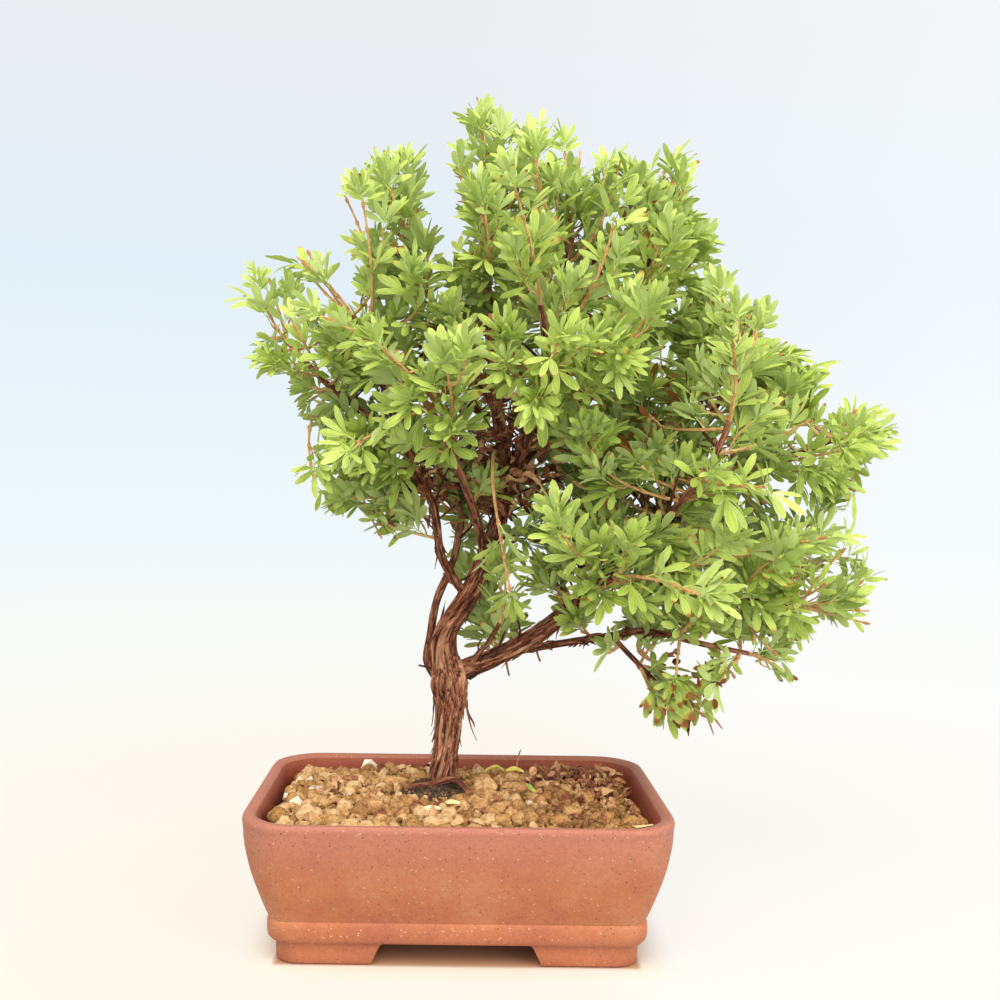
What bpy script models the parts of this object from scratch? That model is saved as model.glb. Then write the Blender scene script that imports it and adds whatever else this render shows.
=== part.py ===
"""Shrubby cinquefoil bonsai: a leafy, shaggy-barked shrub in a rectangular clay pot."""
import math
import random

import bpy
import bmesh
from mathutils import Vector, Matrix, geometry
from mathutils.bvhtree import BVHTree

MM = 0.001                      # routes and sizes below are in millimetres

# Pot
RIM_X = 170.0                   # outer length of the rim
RIM_Y = 117.0                   # outer depth of the rim
POT_HEIGHT = 58.0
FOOT_HEIGHT = 10.2
CORNER_RIM = 17.0               # corner radius at the rim
CORNER_FOOT = 9.5               # corner radius at the feet
WAIST = 18.6                    # height of the waist, above the band
TAPER = 20.0                    # how much longer the rim is than the waist
BELLY = 1.55                    # how round the sides are, 1 being straight
SIDE_BULGE = 1.6                # how far the long sides bow out at their middle
FLOOR_TOP = 16.5                # inner floor
HOLE_RADIUS = 7.0
HOLE_X = 38.0
MESH_SIDE = 22.0
MESH_THICK = 1.2
FIT = 0.35                      # gap that seated pieces keep to each other

# Soil
SOIL_LEVEL = 51.0
SOIL_MOUND = 3.0                # how much higher it lies at the trunk
GRAIN_PITCH = 12.6
GRAIN_RISE = 2.0
BALL_RADIUS = 15.0
BALL_BOTTOM = 36.0
TRUNK_BASE = (-8.0, 11.0)       # where the trunk stands, off the pot's middle
TREE_LEAN = -0.7                # degrees, the whole tree to the left about the trunk's foot
TREE_FOOT = 57.0                # height of the trunk's foot

# Foliage
LEAFLET_LENGTH = 20.0
LEAFLET_WIDTH = 6.8
PETIOLE = 5.5
LEAF_THICK = 1.0
STEM_RADIUS = 0.95
FIVE_SHARE = 0.85               # how many leaves have five leaflets, the rest three
TUFT_RADIUS = 5.0               # the heart of a tuft of young leaflets
TUFT_REACH = 21.5               # from the middle of a tuft to the tips of its leaflets
SEED = 41

# Limbs as points (x, y, z, radius), each one starting inside the limb that bears it
LIMBS = {
    "trunk": [(-8.5, 11, 38, 5.0), (-8.0, 11, 57, 5.3), (-5.3, 11, 71, 5.3), (-4.2, 11, 86, 5.7),
              (-3.6, 11, 100, 7.5), (-4.6, 11, 108, 6.6), (-4.8, 11, 113, 4.6)],
    "main": [(-4.2, 11, 98, 5.4), (-5.8, 11, 121, 4.9), (3, 9, 137, 4.5), (8, 9, 147, 4.1),
             (18, 10, 174, 3.4), (22, 12, 191, 3.0), (17, 14, 225, 2.4), (14, 15, 262, 2.0),
             (12, 15, 304, 1.4)],
    "left_thin": [(-6, 11, 99, 2.4), (-14.6, 12, 109, 2.1), (-15.3, 13, 117, 1.9), (-11, 16, 137, 1.8),
                  (-1, 22, 159, 1.6), (2, 34, 190, 1.5), (-10, 50, 222, 1.2)],
    "left": [(5, 9, 138, 2.0), (-6.8, 6, 156, 1.9), (-10.5, 3, 178, 1.8), (-18, 0, 195, 1.7),
             (-26, 0, 208, 1.6), (-56, 0, 231, 1.4), (-76, 3, 252, 1.1)],
    "right": [(-3.4, 11, 102, 4.2), (3, 11, 107, 3.9), (16, 9, 112.5, 3.7), (31, 6, 121, 3.5),
              (53, 3, 139, 3.2), (80, 2, 165, 2.6), (107, 4, 182, 2.2), (140, 8, 200, 1.7),
              (166, 10, 211, 1.3)],
    "low_thin": [(20, 8, 114.5, 1.8), (38, 2, 119, 1.6), (62, -4, 124, 1.5), (80, -7, 127, 1.4),
                 (104, -8, 122, 1.2), (124, -6, 118, 1.0)],
    "droop": [(66, -4.6, 124.5, 1.2), (74, -7, 116, 1.1), (84, -10, 106, 1.0), (92, -11, 101, 0.9)],
    "hook": [(5, 10.5, 108, 1.5), (9, 6, 115, 1.2), (13, 3, 120, 1.1), (18, -1, 129, 1.0)],
    "left_high": [(-25, 0, 207, 1.5), (-34, 4, 235, 1.3), (-46, 4, 262, 1.1)],
    "top_left": [(17, 14, 222, 2.0), (4, 13, 246, 1.6), (-12, 12, 272, 1.3), (-22, 12, 294, 1.1)],
    "top_mid": [(22, 12, 186, 2.4), (34, 10, 225, 2.1), (44, 8, 265, 1.7), (50, 8, 298, 1.2)],
    "top_right": [(22.4, 12.3, 193, 2.3), (48, 18, 222, 2.1), (72, 16, 262, 1.6), (86, 14, 292, 1.1)],
    "far_right": [(80, 2, 165, 2.2), (98, 6, 198, 1.8), (116, 10, 228, 1.3), (124, 12, 243, 1.1)],
    "low_right": [(60, 2.6, 146, 2.0), (92, -3, 147, 1.7), (122, -4, 142, 1.4), (148, 0, 138, 1.1)],
    "front_left": [(12, 9, 157, 2.0), (4, -12, 185, 1.7), (-8, -28, 212, 1.4), (-20, -38, 232, 1.1)],
    "front_mid": [(20, 11, 183, 2.2), (30, -15, 210, 1.8), (34, -38, 238, 1.4), (32, -48, 258, 1.1)],
    "front_right": [(66, 2, 151, 2.0), (82, -24, 172, 1.7), (98, -42, 196, 1.3), (105, -48, 214, 1.1)],
    "front_low": [(48, 3.5, 135, 1.8), (56, -20, 145, 1.4), (62, -38, 152, 1.1)],
    "back_mid": [(20.4, 12, 203, 1.9), (28, 40, 228, 1.6), (32, 58, 252, 1.2)],
    "back_right": [(76, 2, 161, 2.0), (88, 34, 185, 1.6), (98, 54, 208, 1.2)],
    "back_low": [(52, 3, 138, 1.7), (58, 30, 152, 1.4), (64, 46, 164, 1.1)],
}

# Ends of the leafy shoots that each limb bears: the first grows from the limb's end
SHOOTS = {
    "main": [(11, 15, 342), (-2, 22, 318), (33, 2, 328)],
    "left": [(-84, 0, 266), (-78, 8, 226), (-62, -4, 190), (-36, 4, 170)],
    "left_high": [(-66, 5, 284), (-48, 14, 312), (-38, -28, 298)],
    "top_left": [(-24, 14, 322), (-46, 34, 286)],
    "top_mid": [(54, 12, 332), (68, -6, 322), (32, 48, 312)],
    "top_right": [(96, 12, 324), (78, 34, 312), (104, 4, 290)],
    "far_right": [(132, 14, 258), (152, 20, 230), (108, 28, 264)],
    "right": [(181, 10, 216), (172, -4, 188)],
    "low_right": [(174, 4, 136), (176, 18, 158), (140, -14, 114), (138, 40, 156)],
    "low_thin": [(146, -2, 106), (112, -22, 98)],
    "droop": [(104, -14, 92)],
    "hook": [(20, -8, 148)],
    "front_left": [(-48, -52, 250), (-36, -58, 204), (-4, -66, 228)],
    "front_mid": [(22, -70, 292), (58, -62, 286), (34, -88, 236), (66, -70, 246)],
    "front_right": [(98, -70, 252), (136, -58, 216), (112, -80, 188)],
    "front_low": [(84, -70, 150), (40, -62, 168), (138, -44, 168)],
    "left_thin": [(-36, 74, 246), (-34, 62, 198)],
    "back_mid": [(14, 82, 288), (52, 84, 294), (16, 94, 226)],
    "back_right": [(104, 82, 256), (138, 66, 214), (104, 88, 186)],
    "back_low": [(46, 80, 176), (44, 36, 200)],
}


def start_empty():
    for obj in list(bpy.data.objects):
        bpy.data.objects.remove(obj, do_unlink=True)


def new_collection(name):
    coll = bpy.data.collections.new(name)
    bpy.context.scene.collection.children.link(coll)
    return coll


def material(name, colour, roughness=0.8, metallic=0.0):
    mat = bpy.data.materials.new(name)
    mat.use_nodes = True
    shader = mat.node_tree.nodes["Principled BSDF"]
    shader.inputs["Base Color"].default_value = (*colour, 1.0)
    shader.inputs["Roughness"].default_value = roughness
    shader.inputs["Metallic"].default_value = metallic
    mat.diffuse_color = (*colour, 1.0)
    return mat


def place_mesh(name, bm, coll, mat):
    bmesh.ops.recalc_face_normals(bm, faces=bm.faces)
    mesh = bpy.data.meshes.new(name)
    bm.to_mesh(mesh)
    bm.free()
    obj = bpy.data.objects.new(name, mesh)
    coll.objects.link(obj)
    if mat:
        mesh.materials.append(mat)
    return obj


def boolean(obj, operation, other=None, coll=None, solver="EXACT"):
    mod = obj.modifiers.new(operation.lower(), "BOOLEAN")
    mod.operation = operation
    mod.solver = solver
    if coll:
        mod.operand_type = "COLLECTION"
        mod.collection = coll
    else:
        mod.object = other
    return mod


def freeze(obj):
    """Replace the object's mesh by what its modifiers make of it."""
    graph = bpy.context.evaluated_depsgraph_get()
    graph.update()
    mesh = bpy.data.meshes.new_from_object(obj.evaluated_get(graph))
    obj.modifiers.clear()
    obj.data = mesh


def biggest_body(obj, weld):
    """Weld what coincides and drop loose scraps beside the largest body."""
    bm = bmesh.new()
    bm.from_mesh(obj.data)
    if weld:
        bmesh.ops.remove_doubles(bm, verts=bm.verts, dist=weld * MM)
        bmesh.ops.dissolve_degenerate(bm, edges=bm.edges, dist=weld * MM)
    bmesh.ops.triangulate(bm, faces=bm.faces)
    left = set(bm.verts)
    bodies = []
    while left:
        stack = [left.pop()]
        body = set(stack)
        while stack:
            for edge in stack.pop().link_edges:
                for vert in edge.verts:
                    if vert not in body:
                        body.add(vert)
                        stack.append(vert)
        left -= body
        bodies.append(body)
    bodies.sort(key=len)
    for body in bodies[:-1]:
        bmesh.ops.delete(bm, geom=list(body), context="VERTS")
    bm.to_mesh(obj.data)
    bm.free()
    return len(bodies)


def rounded_ring(bm, size_x, size_y, radius, z, bulge=0.0):
    """One level of the pot: a rounded rectangle with bowed sides, 24 points."""
    points = []
    half_x = size_x / 2 - radius
    half_y = size_y / 2 - radius
    for corner, (sx, sy) in enumerate([(1, 1), (-1, 1), (-1, -1), (1, -1)]):
        for step in range(4):
            angle = math.radians(90 * corner + 30 * step)
            points.append((sx * half_x + radius * math.cos(angle),
                           sy * half_y + radius * math.sin(angle)))
        if corner % 2 == 0:
            points.append((sx * half_x * 0.45, sy * (size_y / 2 + bulge)))
            points.append((-sx * half_x * 0.45, sy * (size_y / 2 + bulge)))
        else:
            points.append((sx * (size_x / 2 + bulge * 0.6), sy * -half_y * -0.4))
            points.append((sx * (size_x / 2 + bulge * 0.6), sy * half_y * -0.4))
    return [bm.verts.new((x * MM, y * MM, z * MM)) for x, y in points]


def skin(bm, rings):
    for low, high in zip(rings, rings[1:]):
        for i in range(len(low)):
            j = (i + 1) % len(low)
            bm.faces.new((low[i], low[j], high[j], high[i]))


def inner_size(z):
    """Length, depth and corner radius of the pot's inside at height z."""
    t = (z - FLOOR_TOP) / (POT_HEIGHT - FLOOR_TOP)
    grow = 18.0 * t ** 0.8
    return RIM_X - 30.5 + grow, RIM_Y - 30.5 + grow, 7.0 + 5.0 * t


def tapered_cutter(name, low, high, z_low, z_high, coll):
    """A box whose foot and head differ in size: (x, y) halves in mm."""
    bm = bmesh.new()
    rings = []
    for (hx, hy), z in ((low, z_low), (high, z_high)):
        rings.append([bm.verts.new((x * MM, y * MM, z * MM))
                      for x, y in ((-hx, -hy), (hx, -hy), (hx, hy), (-hx, hy))])
    skin(bm, rings)
    bm.faces.new(rings[0])
    bm.faces.new(rings[1])
    return guide(place_mesh(name, bm, coll, None))


def guide(obj):
    obj.hide_render = True
    obj.display_type = "WIRE"
    return obj


def drum_cutter(name, x, y, z_low, z_high, radius, sides, coll):
    bm = bmesh.new()
    bmesh.ops.create_cone(bm, cap_ends=True, segments=sides, radius1=radius * MM, radius2=radius * MM,
                          depth=(z_high - z_low) * MM)
    bmesh.ops.translate(bm, verts=bm.verts, vec=(x * MM, y * MM, (z_low + z_high) / 2 * MM))
    return guide(place_mesh(name, bm, coll, None))


def belly_level(z):
    """Size off the rim's, corner radius, height and bow of the sides, between waist and rim."""
    rise = (z - WAIST) / (55.6 - WAIST)
    return (TAPER * (1 - rise) ** BELLY, CORNER_FOOT + (CORNER_RIM - CORNER_FOOT) * rise, z,
            0.4 + (SIDE_BULGE - 0.4) * rise)


def make_pot(coll, cutters):
    bm = bmesh.new()
    levels = [  # size off the rim's, corner radius, height, bow of the sides
        (24.8, CORNER_FOOT - 1, 0.0, 0.0), (23.5, CORNER_FOOT, 0.9, 0.0),
        (22.8, CORNER_FOOT, FOOT_HEIGHT, 0.0), (18.6, CORNER_FOOT, FOOT_HEIGHT + 1.0, 0.2),
        (17.6, CORNER_FOOT, FOOT_HEIGHT + 3.8, 0.2), (18.4, CORNER_FOOT, FOOT_HEIGHT + 6.8, 0.3),
        belly_level(WAIST), belly_level(28.0), belly_level(40.0), belly_level(50.0),
        (0.0, CORNER_RIM, 55.6, SIDE_BULGE), (1.2, CORNER_RIM, POT_HEIGHT - 0.5, SIDE_BULGE),
        (4.2, CORNER_RIM - 1.5, POT_HEIGHT, SIDE_BULGE), (8.6, CORNER_RIM - 3.5, POT_HEIGHT, SIDE_BULGE)]
    rings = [rounded_ring(bm, RIM_X - off, RIM_Y - off, rad, z, bow) for off, rad, z, bow in levels]
    for z in (POT_HEIGHT - 1.4, 40.0, FLOOR_TOP + 4.0, FLOOR_TOP):
        length, depth, rad = inner_size(z)
        rings.append(rounded_ring(bm, length, depth, rad, z, 0.8))
    skin(bm, rings)
    bm.faces.new(rings[0])
    bm.faces.new(rings[-1])
    pot = place_mesh("pot", bm, coll, material("red_clay", (0.55, 0.22, 0.13), 0.72))
    # The four feet are what the two channels and the hollow between them leave
    boolean(pot, "DIFFERENCE", tapered_cutter("channel_front_back", (37.0, 80), (31.0, 80), -1,
                                              FOOT_HEIGHT, cutters))
    boolean(pot, "DIFFERENCE", tapered_cutter("channel_left_right", (100, 22.0), (100, 17.0), -1,
                                              FOOT_HEIGHT, cutters))
    boolean(pot, "DIFFERENCE", tapered_cutter("hollow_below", (60, 33.5), (58, 31.5), -1,
                                              FOOT_HEIGHT, cutters))
    for side, x in (("left", -HOLE_X), ("right", HOLE_X)):
        boolean(pot, "DIFFERENCE", drum_cutter("drain_" + side, x, 0, 4, 24, HOLE_RADIUS, 12, cutters))
    return pot


def make_drain_meshes(coll, cutters):
    mat = material("dark_plastic", (0.03, 0.03, 0.03), 0.5)
    for side, x in (("left", -HOLE_X), ("right", HOLE_X)):
        bm = bmesh.new()
        bmesh.ops.create_cube(bm, size=1.0)
        bmesh.ops.scale(bm, verts=bm.verts, vec=(MESH_SIDE * MM, MESH_SIDE * MM, MESH_THICK * MM))
        z = FLOOR_TOP + FIT + MESH_THICK / 2
        bmesh.ops.translate(bm, verts=bm.verts, vec=(x * MM, 0, z * MM))
        plate = place_mesh("drain_mesh_" + side, bm, coll, mat)
        for i in (-1, 1):
            for j in (-1, 1):
                cutter = tapered_cutter("mesh_hole", (3.2, 3.2), (3.2, 3.2), z - 3, z + 3, cutters)
                cutter.location = ((x + 4.6 * i) * MM, 4.6 * j * MM, 0)
                boolean(plate, "DIFFERENCE", cutter)


def soil_height(x, y):
    away = math.hypot((x - TRUNK_BASE[0]) / 60, (y - TRUNK_BASE[1]) / 45)
    return SOIL_LEVEL + SOIL_MOUND * math.exp(-away * away)


def make_soil(coll, cutters):
    rng = random.Random(SEED + 1)
    bm = bmesh.new()
    rings = []
    for z in (FLOOR_TOP + FIT, FLOOR_TOP + 4.0 + FIT * 0.5, 40.0, SOIL_LEVEL - 1.0):
        length, depth, rad = inner_size(max(z, FLOOR_TOP))
        rings.append(rounded_ring(bm, length - 2.4 * FIT, depth - 2.4 * FIT, rad - 0.3, z, 0.7))
    skin(bm, rings)
    bm.faces.new(rings[0])
    # Grains: tops on a jittered honeycomb with lower points between them
    edge = [(v.co.x / MM, v.co.y / MM) for v in rings[-1]]
    half_x = max(p[0] for p in edge) - 2.6
    half_y = max(p[1] for p in edge) - 2.6
    points = []
    heights = []
    row_step = GRAIN_PITCH * math.sqrt(3) / 2
    rows = int(2 * half_y / row_step) + 2
    columns = int(2 * half_x / GRAIN_PITCH) + 2
    spots = [(0.0, 0.0, 1), (GRAIN_PITCH / 2, row_step / 3, -1), (0.0, row_step * 2 / 3, -1)]
    for row in range(rows):
        for col in range(columns):
            for dx, dy, side in spots:
                x = -half_x + col * GRAIN_PITCH + (row % 2) * GRAIN_PITCH / 2 + dx
                y = -half_y + row * row_step + dy
                x += rng.uniform(-1.5, 1.5)
                y += rng.uniform(-1.3, 1.3)
                rise = rng.uniform(0.3, 1.0) * GRAIN_RISE * (1 if side > 0 else -0.55)
                corner = math.hypot(max(abs(x) - half_x + 9, 0), max(abs(y) - half_y + 9, 0))
                if abs(x) < half_x and abs(y) < half_y and corner < 9:
                    points.append(Vector((x, y)))
                    heights.append(soil_height(x, y) + rise)
    count = len(edge)
    flat = [Vector(p) for p in edge] + points
    border = [(i, (i + 1) % count) for i in range(count)]
    out = geometry.delaunay_2d_cdt(flat, border, [], 1, 0.001)
    verts = list(rings[-1])
    for point, height in zip(points, heights):
        verts.append(bm.verts.new((point.x * MM, point.y * MM, height * MM)))
    for tri in out[2]:
        bm.faces.new([verts[out[3][i][0]] for i in tri])
    soil = place_mesh("soil", bm, coll, material("akadama", (0.50, 0.32, 0.13), 0.95))
    for side, x in (("left", -HOLE_X), ("right", HOLE_X)):
        half = MESH_SIDE / 2 + FIT
        cutter = tapered_cutter("mesh_pocket_" + side, (half, half), (half, half), FLOOR_TOP - 1,
                                FLOOR_TOP + 2 * FIT + MESH_THICK, cutters)
        cutter.location.x = x * MM
        boolean(soil, "DIFFERENCE", cutter)
    wide = (BALL_RADIUS + FIT) / math.cos(math.pi / 14)
    hole = drum_cutter("ball_hole", *TRUNK_BASE, BALL_BOTTOM - FIT, 80, wide, 14, cutters)
    boolean(soil, "DIFFERENCE", hole)
    return soil


def make_root_ball(coll, cutters):
    rng = random.Random(SEED + 2)
    bm = bmesh.new()
    rings = []
    sides = 14
    for radius, z in ((BALL_RADIUS, BALL_BOTTOM), (BALL_RADIUS, 53.5), (13.0, 56.2), (9.4, 57.8)):
        ring = []
        for i in range(sides):
            angle = 2 * math.pi * i / sides
            rough = rng.uniform(-0.7, 0.7) if z > 54 else 0
            reach = (radius + rough) * MM
            ring.append(bm.verts.new((TRUNK_BASE[0] * MM + reach * math.cos(angle),
                                      TRUNK_BASE[1] * MM + reach * math.sin(angle),
                                      (z + rough * 0.6) * MM)))
        rings.append(ring)
    skin(bm, rings)
    bm.faces.new(rings[0])
    bm.faces.new(rings[-1])
    ball = place_mesh("root_ball", bm, coll, material("peat", (0.05, 0.03, 0.02), 0.95))
    hole = drum_cutter("trunk_hole", -8.3, 11, 38 - FIT, 80, 5.3 + FIT + 0.3, 12, cutters)
    boolean(ball, "DIFFERENCE", hole)
    return ball


def leaned(x, z):
    return x + math.tan(math.radians(TREE_LEAN)) * (z - TREE_FOOT)


def smooth_route(points, spacing):
    """Catmull-Rom through (x, y, z, radius) points, read about every `spacing` mm."""
    out = []
    last = len(points) - 1
    for i in range(last):
        p0 = Vector(points[max(i - 1, 0)])
        p1 = Vector(points[i])
        p2 = Vector(points[i + 1])
        p3 = Vector(points[min(i + 2, last)])
        steps = max(1, round((p2.xyz - p1.xyz).length / spacing))
        for k in range(steps):
            t = k / steps
            out.append(0.5 * ((2 * p1) + (p2 - p0) * t + (2 * p0 - 5 * p1 + 4 * p2 - p3) * t * t
                              + (3 * p1 - p0 - 3 * p2 + p3) * t ** 3))
    out.append(Vector(points[-1]))
    return out


def tube(name, route, resolution, coll, mat=None):
    """A round stem along the route: a bevelled curve, turned into a closed mesh."""
    curve = bpy.data.curves.new(name, "CURVE")
    curve.dimensions = "3D"
    curve.bevel_depth = MM
    curve.bevel_resolution = resolution
    curve.use_fill_caps = True
    spline = curve.splines.new("POLY")
    spline.points.add(len(route) - 1)
    for point, spot in zip(spline.points, route):
        point.co = (spot[0] * MM, spot[1] * MM, spot[2] * MM, 1)
        point.radius = spot[3]
    wire = bpy.data.objects.new(name + "_curve", curve)
    bpy.context.scene.collection.objects.link(wire)
    graph = bpy.context.evaluated_depsgraph_get()
    mesh = bpy.data.meshes.new_from_object(wire.evaluated_get(graph))
    bm = bmesh.new()
    bm.from_mesh(mesh)
    bmesh.ops.remove_doubles(bm, verts=bm.verts, dist=0.00001)
    bpy.data.meshes.remove(mesh)
    bpy.data.objects.remove(wire)
    bpy.data.curves.remove(curve)
    return place_mesh(name, bm, coll, mat)


def fuse(obj, coll):
    """Unite the object with everything in the collection, which is then removed."""
    before = obj.data
    bodies = 0
    for solver, weld in (("EXACT", 0.002), ("EXACT", 0.0002), ("MANIFOLD", 0.002), ("MANIFOLD", 0.0)):
        obj.data = before
        boolean(obj, "UNION", coll=coll, solver=solver)
        freeze(obj)
        bodies = biggest_body(obj, weld)
        if closed(obj.data):
            break
    else:
        print("not closed:", obj.name)
    for part in list(coll.objects):
        bpy.data.objects.remove(part, do_unlink=True)
    bpy.data.collections.remove(coll)
    return bodies


def closed(mesh):
    bm = bmesh.new()
    bm.from_mesh(mesh)
    sound = len(bm.faces) > 0 and all(len(edge.link_faces) == 2 for edge in bm.edges)
    bm.free()
    return sound


def make_trunk(coll, mat):
    routes = {}
    pieces = new_collection("limb_pieces")
    trunk = None
    for name, points in LIMBS.items():
        thick = max(p[3] for p in points)
        points = [(leaned(x, z), y, z, radius) for x, y, z, radius in points]
        route = smooth_route(points, 10 if thick > 4 else 18)
        routes[name] = route
        resolution = 2 if thick > 3 else (1 if thick > 2.3 else 0)
        if name == "trunk":
            trunk = tube(name, route, 3, coll, mat)
        else:
            tube(name, route, resolution, pieces)
    root = [(-20, 4, 58.8, 1.0), (-14, 3.4, 59.4, 1.2), (-9, 4.4, 60.4, 1.3), (-3, 4.2, 60.4, 1.3),
            (3, 2.8, 59.4, 1.1)]
    tube("surface_root", root, 1, pieces)
    # Bark: the thick wood is ridged and twisted
    for obj in [trunk] + [o for o in pieces.objects if o.name in ("main", "right")]:
        for i, vert in enumerate(obj.data.vertices):
            if vert.co.z > 0.060:
                wave = math.sin(vert.co.z * 420 + i * 2.3) * 0.00035
                vert.co.x += wave
                vert.co.y += wave * math.cos(i * 1.7)
    fuse(trunk, pieces)
    return trunk, routes


def leaf_bmesh(lobes, scale, thick, rng):
    """One leaf lying along +X with its upper side up: leaflets round the end of a petiole,
    cut to the rib in one blade, with a ridge along each leaflet."""
    bm = bmesh.new()
    width = LEAFLET_WIDTH * scale
    length = LEAFLET_LENGTH * scale
    hub = Vector((PETIOLE, 0, 0))
    angles = {3: (-48, 0, 48), 5: (-86, -42, 0, 42, 86)}[lobes]
    sizes = {3: (0.86, 1.0, 0.86), 5: (0.72, 0.92, 1.0, 0.92, 0.72)}[lobes]

    def spot(flat, rise=0.0):
        away = (flat - hub).length
        return bm.verts.new((flat.x * MM, flat.y * MM, (rise - 0.007 * away * away) * MM))

    foot_right = bm.verts.new((-0.1 * MM, -0.42 * MM, -0.25 * MM))
    foot_left = bm.verts.new((-0.1 * MM, 0.42 * MM, -0.25 * MM))
    foot_top = bm.verts.new((-0.1 * MM, 0, 0.4 * MM))
    hub_top = spot(hub, thick * 1.1)
    notches = [spot(hub + Vector((-1.4, -1.4, 0)))]
    outline = []
    for i, (angle, size) in enumerate(zip(angles, sizes)):
        turn = math.radians(angle + rng.uniform(-5, 5))
        along = Vector((math.cos(turn), math.sin(turn), 0))
        across = Vector((-along.y, along.x, 0))
        reach = length * size
        right = spot(hub + along * reach * 0.58 - across * width / 2)
        tip = spot(hub + along * reach)
        left = spot(hub + along * reach * 0.58 + across * width / 2)
        rib = spot(hub + along * reach * 0.50, thick)
        if i < len(angles) - 1:
            turn = math.radians((angle + angles[i + 1]) / 2)
            notches.append(spot(hub + Vector((math.cos(turn), math.sin(turn), 0)) * 2.5))
        else:
            notches.append(spot(hub + Vector((-1.4, 1.4, 0))))
        outline.append((right, tip, left, rib))
    for i, (right, tip, left, rib) in enumerate(outline):
        first = notches[i]
        second = notches[i + 1]
        for face in ((rib, right, tip), (rib, tip, left), (rib, left, second), (rib, first, right),
                     (rib, hub_top, first), (rib, second, hub_top),
                     (right, left, tip), (first, second, left), (first, left, right)):
            bm.faces.new(face)
    bm.faces.new((hub_top, notches[-1], foot_left))
    bm.faces.new((hub_top, foot_left, foot_top))
    bm.faces.new((hub_top, foot_top, foot_right))
    bm.faces.new((hub_top, foot_right, notches[0]))
    bm.faces.new((foot_top, foot_left, foot_right))
    under = notches + [foot_left, foot_right]
    for i in range(1, len(under) - 1):
        bm.faces.new((under[0], under[i + 1], under[i]))
    bmesh.ops.recalc_face_normals(bm, faces=bm.faces)
    return bm


def tuft_bmesh(centre, axis, size, rng):
    """A tuft of narrow young leaflets, which radiate from a small heart round the stem."""
    bm = bmesh.new()
    bmesh.ops.create_icosphere(bm, subdivisions=1, radius=TUFT_RADIUS * size * MM)
    for face in list(bm.faces):
        middle = face.calc_center_median().normalized()
        if middle.z < -0.7 or rng.random() < 0.08:
            continue
        reach = TUFT_REACH * size * rng.uniform(0.72, 1.0)
        out = bmesh.ops.poke(bm, faces=[face])
        out["verts"][0].co = (middle + Vector((0, 0, 0.35))).normalized() * reach * MM
    bm.transform(Matrix.Translation(centre * MM) @ axis.to_track_quat("Z", "Y").to_matrix().to_4x4())
    return bm


def leaf_frame(base, along, up):
    """Placing matrix: +X runs along the leaf, +Z to its upper side."""
    x = along.normalized()
    y = up.cross(x)
    if y.length < 0.05:
        y = Vector((0, 1, 0)).cross(x)
    y.normalize()
    z = x.cross(y)
    turn = Matrix((x, y, z)).transposed().to_4x4()
    return Matrix.Translation(base * MM) @ turn


def tree_of(bm):
    return BVHTree.FromBMesh(bm, epsilon=0.0)


def swollen(bm, margin):
    """The same closed shape, grown by the margin, to test its clearance."""
    big = bm.copy()
    big.normal_update()
    for vert in big.verts:
        vert.co += vert.normal * margin * MM
    tree = tree_of(big)
    big.free()
    return tree


def stem_route(route, fraction, end, at_end, shift):
    """Points of a leafy shoot from the surface of its limb to `end`."""
    place = fraction * (len(route) - 1)
    low = min(int(place), len(route) - 2)
    mix = place - low
    spot = route[low].lerp(route[low + 1], mix)
    axis = (route[low + 1].xyz - route[low].xyz).normalized()
    goal = Vector((leaned(end[0], end[2]), end[1], end[2]))
    to_goal = goal - spot.xyz
    if at_end:
        leave = (axis * 0.8 + to_goal.normalized() * 0.5).normalized()
        start = spot.xyz + axis * (FIT + STEM_RADIUS * 0.5)
    else:
        side = (to_goal - axis * to_goal.dot(axis)).normalized()
        leave = (side + axis * 0.55).normalized()
        slope = leave.dot(side)
        start = spot.xyz + leave * ((spot[3] + FIT + STEM_RADIUS * leave.dot(axis)) / slope)
    span = (goal - start).length
    bend = start + leave * span * 0.42 + shift
    points = []
    for k in range(4):
        t = k / 3
        point = start * (1 - t) ** 2 + bend * 2 * t * (1 - t) + goal * t * t
        points.append(Vector((*point, STEM_RADIUS * (1 - 0.12 * t))))
    return points


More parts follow.
